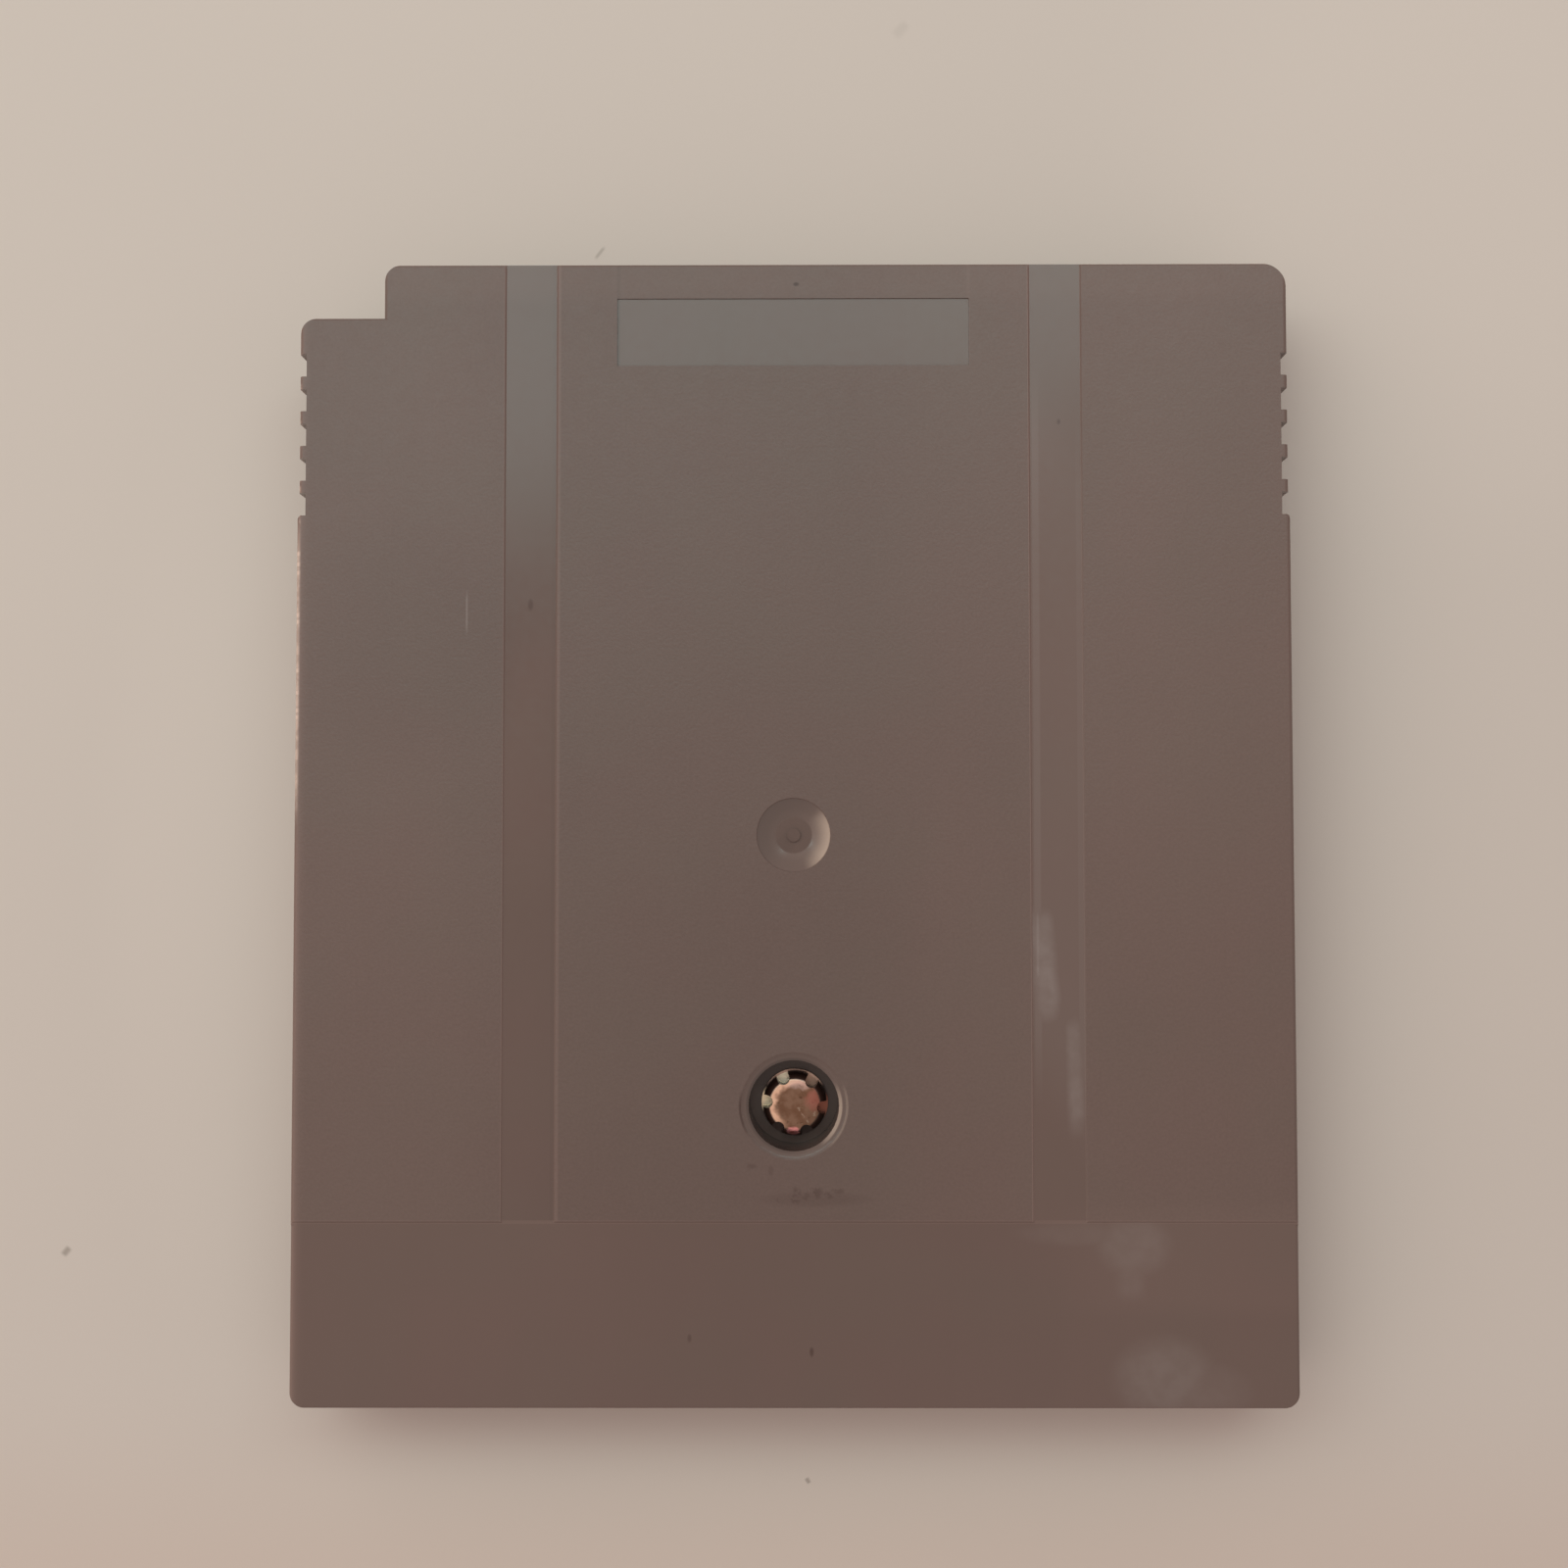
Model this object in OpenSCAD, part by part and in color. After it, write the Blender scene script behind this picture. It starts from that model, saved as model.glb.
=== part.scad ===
// Handheld console game cartridge, lying on its label side with its plain back up.
// Millimetres. X runs across the back, Y from the connector edge to the top edge, Z up out of the back.
// The origin is on the surface that it lies on, under the middle of its length and width.

/* [Housing] */
// Width across the lower sides
body_w = 57.2; // [55:0.2:62]
// Length from the connector edge to the top edge
body_h = 65.4; // [63:0.2:72]
// Thickness over the raised back panels
body_t = 7.8; // [7.6:0.1:9]
// Height of the seam between the two shells
split_z = 3.9; // [3.7:0.1:4.2]
// Side wall
wall_t = 1.8; // [1.7:0.05:2.1]
// Face of the front shell
floor_t = 1.6; // [1.4:0.1:1.8]
// Back shell under its channels and its lower band
roof_t = 1.5; // [1.3:0.1:1.7]
// How much narrower each side is above the grips
top_inset = 0.1; // [0:0.05:0.3]
// Radius of the two lower corners
low_corner_r = 1; // [0.6:0.1:1.6]
// Radius of the full top corner
top_corner_r = 1.5; // [0.8:0.1:2.2]
// Radius of the two corners beside the notch
notch_corner_r = 1.05; // [0.5:0.05:1.4]
// Width of the corner notch
notch_w = 4.85; // [4:0.05:6]
// Depth of the corner notch from the top edge
notch_h = 3.1; // [2.4:0.1:4]
// Rounding of the long back edges
side_edge_r = 0.25; // [0.15:0.05:0.6]
// Rounding of the back edges at the two ends
end_edge_r = 0.15; // [0.1:0.05:0.4]
// Rounding of the long front edges
face_edge_r = 0.8; // [0.5:0.1:1.1]
// Depth and half height of the groove along the seam
seam_d = 0.12; // [0.05:0.01:0.2]

/* [Back panels] */
// Rise of the three panels over the channels and the lower band
panel_rise = 0.06; // [0.04:0.02:0.3]
// Run of the sloping panel sides
panel_slope = 0.1; // [0.06:0.02:0.2]
// Height of the lower band
band_h = 10.5; // [9:0.1:12]
// Distance of each channel from the middle
channel_x = 15.1; // [13:0.1:18]
// Width of each channel across its top
channel_w = 3.1; // [2:0.05:4]
// Width of the sunk marking frame
frame_w = 20.3; // [16:0.1:24]
// Height of the sunk marking frame
frame_h = 3.9; // [3:0.1:5]
// Distance of the marking frame's middle from the top edge
frame_drop = 3.95; // [3.5:0.05:6]
// Depth of the marking frame
frame_d = 0.08; // [0.04:0.02:0.3]

/* [Gate dimple] */
// Distance from the connector edge
gate_y = 32.4; // [28:0.1:38]
// Radius at the surface
gate_r = 2.13; // [1.5:0.05:3]
// Depth of the flat floor
gate_d = 0.62; // [0.4:0.02:0.8]
// Depth that the dish would have without its flat floor
gate_dish_d = 0.8; // [0.7:0.05:1]
// Radius of the gate nub
gate_nub_r = 0.38; // [0.2:0.02:0.6]
// Height of the gate nub
gate_nub_h = 0.14; // [0.05:0.01:0.3]

/* [Side grips] */
// Grooves on each side
grip_count = 5; // [3:1:5]
// Lower side of the lowest groove, measured down from the top edge
grip_drop = 14.58; // [13.5:0.02:17]
// Spacing of the grooves
grip_pitch = 2.02; // [1.8:0.02:2.1]
// Width of each groove
grip_w = 1.3; // [1:0.02:1.5]
// Depth of each groove in the sides
grip_d = 0.5; // [0.3:0.05:0.6]
// Depth of each groove in the front face
grip_face_d = 0.35; // [0.2:0.05:0.5]

/* [Front face] */
// Width of the bare label recess
label_w = 42.6; // [38:0.2:44]
// Bottom of the label recess over the connector edge
label_y = 11.8; // [11:0.1:13]
// Plain band between the label recess and the grips
label_gap = 1.6; // [1:0.1:3]
// Corner radius of the label recess
label_r = 1.6; // [0.8:0.1:2.5]
// Depth of the label recess
label_d = 0.45; // [0.2:0.05:0.6]
// Length of the bare pill recess between the front grips
pill_w = 41; // [36:0.5:44]
// Height of the pill recess
pill_h = 8; // [6:0.2:8.8]
// Depth of the pill recess
pill_d = 0.4; // [0.2:0.05:0.6]
// Width of the insertion arrow
arrow_w = 7; // [5:0.2:9]
// Height of the insertion arrow
arrow_h = 3.6; // [2.6:0.2:4.4]
// Tip of the insertion arrow over the connector edge
arrow_y = 4.2; // [3:0.2:5.6]
// Depth of the insertion arrow
arrow_d = 0.35; // [0.2:0.05:0.5]

/* [Shell joint] */
// Height of the tongue on the front shell
tongue_h = 1.2; // [0.9:0.1:1.4]
// Thickness of the back shell outside the tongue
skirt_t = 1; // [0.9:0.05:1.1]
// Reach of each lock tab
tab_d = 0.45; // [0.3:0.05:0.5]
// Length of each lock tab
tab_l = 3; // [2:0.2:4]
// Height of each lock tab
tab_h = 0.6; // [0.4:0.05:0.7]
// Travel of the front shell when it slides free
tab_travel = 3.6; // [3.2:0.2:4.6]
// Lower lock tab's distance from the connector edge
tab_low_y = 20; // [16:0.5:22]
// Upper lock tab's distance from the connector edge
tab_high_y = 39; // [34:0.5:40]

/* [Screw] */
// Screw's distance from the connector edge
screw_y = 17; // [15:0.1:18]
// Radius of the driver hole
hole_r = 2.58; // [2.4:0.02:2.9]
// Radius of the shallow dish round the driver hole
rim_r = 3.06; // [2.95:0.02:3.4]
// Depth of that dish
rim_d = 0.06; // [0.04:0.02:0.2]
// Width of the bevel along the hole's edge
hole_bevel = 0.16; // [0.1:0.02:0.24]
// Depth of that bevel
hole_bevel_d = 0.1; // [0.06:0.02:0.24]
// Plastic round the driver hole
boss_wall_t = 1.2; // [0.9:0.1:1.5]
// Thickness of the ledge under the screw head
ledge_t = 0.8; // [0.7:0.05:1]
// How far the screw stands off the middle of its hole across the back
screw_off_x = 0.06; // [-0.1:0.02:0.1]
// How far the screw stands off the middle of its hole along the back
screw_off_y = -0.16; // [-0.2:0.02:0.04]
// Radius of the screw head over its flange
head_r = 1.86; // [1.7:0.02:2]
// How far the flange stands out round the head
flange_lip = 0.08; // [0.04:0.02:0.16]
// Thickness of the flange
flange_t = 0.3; // [0.2:0.05:0.4]
// Height of the screw head over its ledge
head_h = 1.7; // [1.5:0.05:2]
// Height of the dome on the head
dome_h = 0.9; // [0.5:0.05:1]
// Radius of the flat top of the head
head_flat_r = 1.42; // [1.1:0.02:1.5]
// Notches round the head
notch_count = 6; // [5:1:7]
// Half width of each notch
head_notch_r = 0.36; // [0.25:0.01:0.45]
// Distance of each notch's inner end from the axis
head_notch_in = 1.28; // [1.2:0.02:1.4]
// Turn of the head as the screw came to rest
head_turn = 54; // [0:1:60]
// Radius of the shank
shank_r = 1; // [0.8:0.05:1.2]
// Length of the shank
shank_l = 3.2; // [2.8:0.1:3.2]

/* [Circuit board] */
// Thickness of the board
board_t = 0.8; // [0.6:0.05:0.9]
// Room between the board and the side walls
board_gap = 0.6; // [0.3:0.05:0.9]
// Length of the board
board_h = 48; // [44:0.5:50]
// How far the contact edge stands back from the mouth
board_inset = 1.2; // [0.8:0.1:2]
// Bevel at the two corners of the contact edge
board_bevel = 0.8; // [0.4:0.1:1]
// Thickness of the ribs
rib_t = 0.8; // [0.6:0.1:1]
// Height of the ribs that carry the board
rib_h = 0.7; // [0.5:0.05:0.8]
// Housing on each side of the mouth
mouth_side = 3.4; // [3.2:0.1:3.7]
// Bevel at the long edges of the mouth
mouth_bevel = 0.4; // [0.2:0.05:0.6]
// Depth of the mouth's side guides
guide_h = 11.4; // [10.4:0.2:12.4]
// Radius of the board's locating posts
post_r = 1; // [0.8:0.05:1.2]
// Posts' distance from the connector edge
post_y = 33; // [31:0.5:35]
// Spacing of the contact pads
contact_pitch = 1.5; // [1.3:0.02:1.7]
// Least bare board beside the contact pads
contact_margin = 1.2; // [0.8:0.1:2]
// Width of a contact pad
contact_w = 1; // [0.8:0.05:1.1]
// Length of a contact pad
contact_l = 8.2; // [6:0.2:9]
// Thickness of the plated copper
contact_t = 0.06; // [0.05:0.01:0.1]

/* [Chips] */
// Room between the chips and the back shell
chip_headroom = 0.7; // [0.4:0.05:1]
// Spacing of the leads
lead_pitch = 1.27; // [1.2:0.01:1.3]
// Width of a lead
lead_w = 0.42; // [0.35:0.01:0.5]
// Thickness of a lead
lead_t = 0.16; // [0.12:0.01:0.2]
// Gap under a chip
standoff = 0.1; // [0.05:0.01:0.2]
// Length of the program memory
rom_l = 20.6; // [19.6:0.1:21]
// Width of the program memory
rom_w = 11.2; // [10.4:0.1:11.4]
// Length of the save memory
save_ram_l = 18.2; // [17.2:0.1:18.8]
// Width of the save memory
save_ram_w = 8.4; // [7.6:0.1:8.6]
// Length of the bank switching chip
mapper_l = 15.6; // [14.6:0.1:16.4]
// Width of the bank switching chip
mapper_w = 5.4; // [5:0.1:6.2]
// Length of the supply switching chip
switch_l = 5.2; // [5:0.1:5.8]
// Width of the supply switching chip
switch_w = 4; // [3.6:0.1:4.4]
// How far the leads of every chip reach out on each side
lead_reach = 1.3; // [1.1:0.05:1.4]

/* [Small parts] */
// Length of a capacitor
capacitor_l = 3.2; // [2:0.1:3.4]
// Width of a capacitor
capacitor_w = 1.6; // [1.2:0.05:1.8]
// Height of a capacitor
capacitor_h = 1.1; // [0.6:0.05:1.4]
// Length of a resistor
resistor_l = 2; // [1.6:0.1:2.4]
// Width of a resistor
resistor_w = 1.25; // [0.8:0.05:1.4]
// Height of a resistor
resistor_h = 0.5; // [0.35:0.05:0.6]
// Length of the diode
diode_l = 2.6; // [2:0.1:3]
// Width of the diode
diode_w = 1.4; // [1:0.05:1.6]
// Height of the diode
diode_h = 1; // [0.7:0.05:1.2]

/* [Battery] */
// Diameter of the cell
cell_d = 16; // [14:0.5:16.5]
// Thickness of the cell
cell_t = 1.6; // [1.2:0.1:1.8]
// Thickness of the welded tabs
strap_t = 0.15; // [0.1:0.05:0.2]
// Width of the welded tabs
strap_w = 3.2; // [2:0.2:4]
// Length of each tab's foot on the board
strap_foot = 1.6; // [1:0.2:1.8]

/* [Hidden] */
$fn = 48;

// Clearance between pieces that are put together, clearance of the screw in its boss,
// and the overlap of cuts past a face
fit = 0.1;
thread_play = 0.02;
cut = 1;

// Everything in plan is measured up from the connector edge, then moved by this much
edge_y = -body_h / 2;

// Heights of the inner levels
roof_z = body_t - panel_rise - roof_t;
board_z = floor_t + rib_h;
board_top = board_z + board_t;
boss_end_z = board_top + 3 * fit;
seat_z = boss_end_z + ledge_t;
flange_r = head_r + flange_lip;
screw_at = [screw_off_x, screw_y + screw_off_y];

// The side wall is shared by the tongue inside and the skirt outside
tongue_in = skirt_t + fit;
tab_z = split_z + tongue_h - tab_h - fit;
upper_half_w = body_w / 2 - top_inset;
shoulder_y = body_h - notch_h;
notch_x = -upper_half_w + notch_w;
grip_y = body_h - grip_drop;
grip_top = grip_y + (grip_count - 1) * grip_pitch + grip_w;
board_end = board_inset + board_h;
board_w = 2 * (upper_half_w - wall_t - board_gap);
mouth_w = body_w - 2 * mouth_side;
edge_w = mouth_w - 4 * fit;
contact_count = floor((edge_w - 2 * contact_margin - contact_w) / contact_pitch) + 1;
package_h = roof_z - chip_headroom - standoff - board_top;
small_package_h = package_h * 0.7;

plastic = [0.44, 0.375, 0.34];
plated = [0.78, 0.62, 0.3];
tinned = [0.72, 0.72, 0.72];
epoxy = [0.09, 0.09, 0.1];
ceramic = [0.7, 0.56, 0.42];

capacitor = [capacitor_l, capacitor_w, capacitor_h];
resistor = [resistor_l, resistor_w, resistor_h];
diode = [diode_l, diode_w, diode_h];

// A rectangle between two corners with its own radius at each corner, anticlockwise from the lower left
module rounded_rect(x0, y0, x1, y1, radii) {
    corners = [[x0, y0, 0], [x1, y0, 90], [x1, y1, 180], [x0, y1, 270]];
    difference() {
        translate([x0, y0]) square([x1 - x0, y1 - y0]);
        for (i = [0:3])
            if (radii[i] > 0)
                translate([corners[i][0], corners[i][1]])
                    rotate(corners[i][2])
                        difference() {
                            translate([-cut, -cut]) square(radii[i] + cut);
                            translate([radii[i], radii[i]]) circle(radii[i]);
                        }
    }
}

// One block of the housing up to a given height, rounded in plan and along its edges
module block(x0, y0, x1, y1, top, radii) {
    intersection() {
        linear_extrude(top) rounded_rect(x0, y0, x1, y1, radii);
        translate([0, y1 + cut, 0])
            rotate([90, 0, 0])
                linear_extrude(y1 - y0 + 2 * cut)
                    rounded_rect(x0, 0, x1, top, [face_edge_r, face_edge_r, side_edge_r, side_edge_r]);
        translate([x0 - cut, 0, 0])
            rotate([90, 0, 90])
                linear_extrude(x1 - x0 + 2 * cut)
                    rounded_rect(y0, 0, y1, top, [end_edge_r, end_edge_r, end_edge_r, end_edge_r]);
    }
}

// The closed housing: the lower band, the middle, the shoulder beside the notch and the narrower top
module housing_form() {
    side = body_w / 2;
    block(-side, 0, side, guide_h + 4, body_t - panel_rise, [low_corner_r, low_corner_r, 0, 0]);
    block(-side, band_h - panel_slope - end_edge_r, side, grip_y, body_t, [0, 0, 0.3, 0.3]);
    block(-upper_half_w, guide_h + 4, 0, shoulder_y, body_t, [0, 0, 0, notch_corner_r]);
    block(notch_x, guide_h + 4, upper_half_w, body_h, body_t, [0, 0, top_corner_r, notch_corner_r]);
}

// The same outline moved in by a wall, for the cavity, the tongue and the seam
module inner_outline(inset) {
    difference() {
        translate([-upper_half_w + inset, inset])
            square([2 * (upper_half_w - inset), body_h - 2 * inset]);
        translate([-body_w, shoulder_y - inset])
            square([notch_x + inset + body_w, notch_h + inset + cut]);
    }
}

// One square groove across a side
module grip_groove(side) {
    floor_x = body_w / 2 - grip_d;
    mirror([side < 0 ? 1 : 0, 0, 0])
        translate([floor_x, 0, -cut]) cube([grip_d + cut, grip_w, body_t + 2 * cut]);
}

module side_grips() {
    for (i = [0:grip_count - 1])
        for (side = [-1, 1])
            translate([0, grip_y + i * grip_pitch, 0]) grip_groove(side);
}

// The fine groove that shows all round where the shells meet
module seam_groove(from_z) {
    translate([0, 0, from_z])
        linear_extrude(seam_d)
            difference() {
                translate([-body_w, -cut]) square([2 * body_w, body_h + 2 * cut]);
                inner_outline(seam_d);
            }
}

// The mouth at the connector edge, between its two side guides
module mouth(low_z, high_z) {
    translate([-mouth_w / 2, -cut, low_z])
        cube([mouth_w, guide_h + cut, high_z - low_z]);
}

// Lead-in for the console's connector, over and under the mouth
module mouth_bevels() {
    translate([-mouth_w / 2, 0, 0])
        rotate([90, 0, 90])
            linear_extrude(mouth_w)
                polygon([[-cut, floor_t - mouth_bevel - cut],
                         [mouth_bevel, floor_t],
                         [mouth_bevel, roof_z],
                         [-cut, roof_z + mouth_bevel + cut]]);
}

// The inside of the housing above the mouth's guides
module cavity(low_z, high_z) {
    translate([0, 0, low_z])
        linear_extrude(high_z - low_z)
            intersection() {
                inner_outline(wall_t);
                translate([-body_w, guide_h]) square([2 * body_w, body_h]);
            }
    mouth(low_z, high_z);
}

// A groove of trapezoid section along X or Y: width across its top, run of each side, depth
module sloped_groove(width, run, depth, length) {
    rotate([90, 0, 0])
        linear_extrude(length)
            polygon([[-width / 2 + run, -depth],
                     [width / 2 - run, -depth],
                     [width / 2, 0],
                     [width / 2 + run, depth],
                     [-width / 2 - run, depth],
                     [-width / 2, 0]]);
}

// Two channels that run into the lower band, which leave three raised panels
module panel_steps() {
    for (side = [-1, 1])
        translate([side * channel_x, body_h + cut, body_t])
            sloped_groove(channel_w, panel_slope, panel_rise, body_h);
    translate([-body_w, 0, 0])
        rotate([90, 0, 90])
            linear_extrude(2 * body_w)
                polygon([[-cut, body_t - panel_rise],
                         [band_h - panel_slope, body_t - panel_rise],
                         [band_h + panel_slope, body_t + panel_rise],
                         [-cut, body_t + panel_rise]]);
}

module marking_frame() {
    translate([-frame_w / 2, body_h - frame_drop - frame_h / 2, body_t - frame_d])
        cube([frame_w, frame_h, frame_d + cut]);
}

// A dish with a flat floor and the little nub that the moulding gate leaves
module gate_dimple() {
    dish_r = (gate_r * gate_r + gate_dish_d * gate_dish_d) / (2 * gate_dish_d);
    translate([0, gate_y, body_t])
        difference() {
            intersection() {
                translate([0, 0, dish_r - gate_dish_d]) sphere(dish_r);
                translate([0, 0, -gate_d]) cylinder(r = gate_r, h = gate_d + cut / 4);
            }
            translate([0, 0, -gate_d - cut])
                cylinder(r1 = gate_nub_r, r2 = gate_nub_r, h = cut + gate_nub_h);
        }
}

// The driver hole with its dished and bevelled rim, down to the ledge that the head sits on
module driver_hole() {
    edge_r = hole_r + hole_bevel;
    translate([0, screw_y, seat_z]) cylinder(r = hole_r, h = body_t - seat_z + cut);
    translate([0, screw_y, body_t - rim_d - hole_bevel_d])
        cylinder(r1 = hole_r, r2 = edge_r + hole_bevel, h = 2 * hole_bevel_d);
    translate([0, screw_y, body_t - rim_d])
        cylinder(r1 = edge_r, r2 = edge_r + (rim_r - edge_r) * 2, h = 2 * rim_d);
    translate([screw_at[0], screw_at[1], 0]) cylinder(r = shank_r + 2 * fit, h = body_t);
}

module screw_boss() {
    translate([0, screw_y, boss_end_z])
        cylinder(r = hole_r + boss_wall_t, h = roof_z - boss_end_z + roof_t / 2);
}

// Pillars that hold the board down on its ribs
module board_clamps() {
    x = board_w / 2 - 2;
    for (side = [-1, 1])
        for (y = [guide_h + 2.2, board_end - 1.6])
            translate([side * x, y, board_top + fit / 2])
                cylinder(r = 0.9, h = roof_z - board_top);
}

// Thin ribs that stiffen the empty end above the board
module top_ribs(low_z, high_z) {
    for (x = [-channel_x, 0, channel_x])
        translate([x - rib_t / 2, board_end + 1.2, low_z])
            cube([rib_t, body_h - wall_t - board_end - 1.2 + fit, high_z - low_z]);
}

// L-shaped pockets in the skirt: the tabs go in at the lower end, then slide over the ledge
module lock_pockets() {
    x = upper_half_w - skirt_t;
    for (side = [-1, 1])
        for (y = [tab_low_y, tab_high_y])
            mirror([side < 0 ? 1 : 0, 0, 0])
                translate([x - cut, y - tab_travel - fit, 0]) {
                    translate([0, 0, tab_z - fit])
                        cube([cut + tab_d + fit, tab_l + tab_travel + 2 * fit, tab_h + 2 * fit]);
                    translate([0, 0, split_z - cut])
                        cube([cut + tab_d + fit, tab_l + 2 * fit, cut + tab_z - split_z + tab_h + fit]);
                }
}

module lock_tabs() {
    x = upper_half_w - skirt_t;
    for (side = [-1, 1])
        for (y = [tab_low_y, tab_high_y])
            mirror([side < 0 ? 1 : 0, 0, 0])
                translate([x - 2 * fit, y, tab_z]) cube([2 * fit + tab_d, tab_l, tab_h]);
}

module back_shell() {
    color(plastic)
        translate([0, edge_y, 0])
            difference() {
                union() {
                    difference() {
                        intersection() {
                            housing_form();
                            translate([-body_w, -cut, split_z])
                                cube([2 * body_w, body_h + 2 * cut, body_t]);
                        }
                        cavity(split_z - cut, roof_z);
                        translate([0, 0, split_z - cut])
                            linear_extrude(cut + tongue_h + fit) inner_outline(skirt_t);
                        lock_pockets();
                    }
                    screw_boss();
                    board_clamps();
                    top_ribs(split_z + tongue_h + 2 * fit, roof_z + fit);
                    mouth_guides(split_z + fit / 2, roof_z + fit);
                }
                panel_steps();
                marking_frame();
                gate_dimple();
                driver_hole();
                side_grips();
                mouth_bevels();
                seam_groove(split_z);
            }
}

// Side guides of the mouth, which the rabbet for the tongue would otherwise open up
module mouth_guides(low_z, high_z) {
    for (side = [-1, 1])
        mirror([side < 0 ? 1 : 0, 0, 0])
            translate([mouth_w / 2, 0, low_z])
                cube([upper_half_w - skirt_t - mouth_w / 2 + fit, guide_h, high_z - low_z]);
}

// The raised inner edge of the front shell fits inside the skirt. It stops short of the mouth's
// guides, so that the front shell can slide toward the mouth when the screw is out.
module tongue() {
    translate([0, 0, split_z - fit])
        linear_extrude(tongue_h + fit)
            difference() {
                inner_outline(tongue_in);
                inner_outline(wall_t);
                translate([-body_w, -cut]) square([2 * body_w, cut + guide_h + tab_travel + fit]);
            }
}

// Ribs under the board: one behind the mouth, one at the far end and four along it.
// The outer two pass beside the locating posts.
module board_ribs() {
    reach = board_end - board_inset;
    outer_x = board_w / 2 - post_r - 4 * fit - rib_t;
    for (y = [board_inset, board_end - rib_t])
        translate([-edge_w / 2, y, floor_t - fit]) cube([edge_w, rib_t, rib_h + fit]);
    for (side = [-1, 1])
        for (x = [outer_x / 3, outer_x])
            mirror([side < 0 ? 1 : 0, 0, 0])
                translate([x, board_inset, floor_t - fit]) cube([rib_t, reach, rib_h + fit]);
}

// Round posts that stand in the half-round notches of the board
module board_posts() {
    for (side = [-1, 1])
        translate([side * board_w / 2, post_y, floor_t - fit])
            cylinder(r = post_r, h = board_top - floor_t + 4 * fit);
}

// The boss that the screw bites into stands up through the hole in the board
module thread_boss() {
    translate([0, screw_y, floor_t - fit])
        cylinder(r = shank_r + 2, h = boss_end_z - floor_t + fit);
}

module thread_hole() {
    translate([screw_at[0], screw_at[1], seat_z - shank_l - fit])
        cylinder(r = shank_r + thread_play, h = body_t);
}

module label_recess() {
    translate([0, 0, -cut])
        linear_extrude(cut + label_d)
            rounded_rect(-label_w / 2, label_y, label_w / 2, grip_y - label_gap,
                         [label_r, label_r, label_r, label_r]);
}

// A long recess with round ends, level with the grips
module pill_recess() {
    y = (grip_y + grip_top) / 2;
    r = pill_h / 2;
    translate([0, 0, -cut])
        linear_extrude(cut + pill_d) {
            translate([-pill_w / 2 + r, y - r]) square([pill_w - pill_h, pill_h]);
            for (side = [-1, 1])
                translate([side * (pill_w / 2 - r), y]) circle(r);
        }
}

// The side grooves go on across the front face as far as the pill
module face_grips() {
    reach = 1.2;
    for (i = [0:grip_count - 1])
        for (side = [-1, 1])
            mirror([side < 0 ? 1 : 0, 0, 0])
                translate([pill_w / 2 + reach, grip_y + i * grip_pitch, -cut])
                    cube([body_w / 2, grip_w, cut + grip_face_d]);
}

module insertion_arrow() {
    translate([0, 0, -cut])
        linear_extrude(cut + arrow_d)
            polygon([[0, arrow_y],
                     [arrow_w / 2, arrow_y + arrow_h],
                     [-arrow_w / 2, arrow_y + arrow_h]]);
}

module front_shell() {
    color(plastic)
        translate([0, edge_y, 0])
            difference() {
                union() {
                    difference() {
                        intersection() {
                            housing_form();
                            translate([-body_w, -cut, 0])
                                cube([2 * body_w, body_h + 2 * cut, split_z]);
                        }
                        cavity(floor_t, split_z + cut);
                    }
                    tongue();
                    lock_tabs();
                    board_ribs();
                    board_posts();
                    thread_boss();
                    top_ribs(floor_t - fit, split_z);
                }
                thread_hole();
                label_recess();
                pill_recess();
                face_grips();
                insertion_arrow();
                side_grips();
                mouth_bevels();
                seam_groove(split_z - seam_d);
            }
}

// Head section: flange, straight side, then a dome that ends in a flat top
function head_profile() =
    let (dome_r = head_r - head_flat_r,
         steps = 8)
    concat([[0, 0], [flange_r, 0], [flange_r, flange_t], [head_r, flange_t], [head_r, head_h - dome_h]],
           [for (i = [1:steps])
               let (a = 90 * i / steps)
               [head_flat_r + dome_r * cos(a), head_h - dome_h + dome_h * sin(a)]],
           [[0, head_h]]);

// Six round-ended notches in a domed head take a hollow driver; a flange closes them below
module security_screw() {
    color([0.66, 0.45, 0.33])
        translate([screw_at[0], edge_y + screw_at[1], seat_z]) {
            difference() {
                rotate_extrude() polygon(head_profile());
                for (i = [0:notch_count - 1])
                    rotate(head_turn + i * 360 / notch_count)
                        translate([head_notch_in + head_notch_r, 0, flange_t]) {
                            cylinder(r = head_notch_r, h = head_h);
                            translate([0, -head_notch_r, 0]) cube([flange_r, 2 * head_notch_r, head_h]);
                        }
            }
            translate([0, 0, -shank_l + shank_r / 2])
                cylinder(r = shank_r, h = shank_l - shank_r / 2 + flange_t);
            translate([0, 0, -shank_l]) cylinder(r1 = shank_r / 2, r2 = shank_r, h = shank_r / 2);
        }
}

// The board narrows at its contact edge, and has a hole for the boss and a notch for each post
module circuit_board() {
    e = edge_w / 2;
    b = board_w / 2;
    low = board_inset;
    step = guide_h + 3 * fit;
    color([0.16, 0.33, 0.17])
        translate([0, edge_y, board_z])
            linear_extrude(board_t)
                difference() {
                    polygon([[board_bevel - e, low],
                             [e - board_bevel, low],
                             [e, low + board_bevel],
                             [e, step],
                             [b, step],
                             [b, board_end],
                             [-b, board_end],
                             [-b, step],
                             [-e, step],
                             [-e, low + board_bevel]]);
                    translate([0, screw_y]) circle(shank_r + 2.5);
                    for (side = [-1, 1])
                        translate([side * b, post_y]) circle(post_r + 2 * fit);
                }
}

module edge_contacts() {
    color(plated)
        for (i = [0:contact_count - 1])
            translate([(i - (contact_count - 1) / 2) * contact_pitch - contact_w / 2,
                       edge_y + board_inset + 4 * fit, board_top])
                cube([contact_w, contact_l, contact_t]);
}

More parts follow.
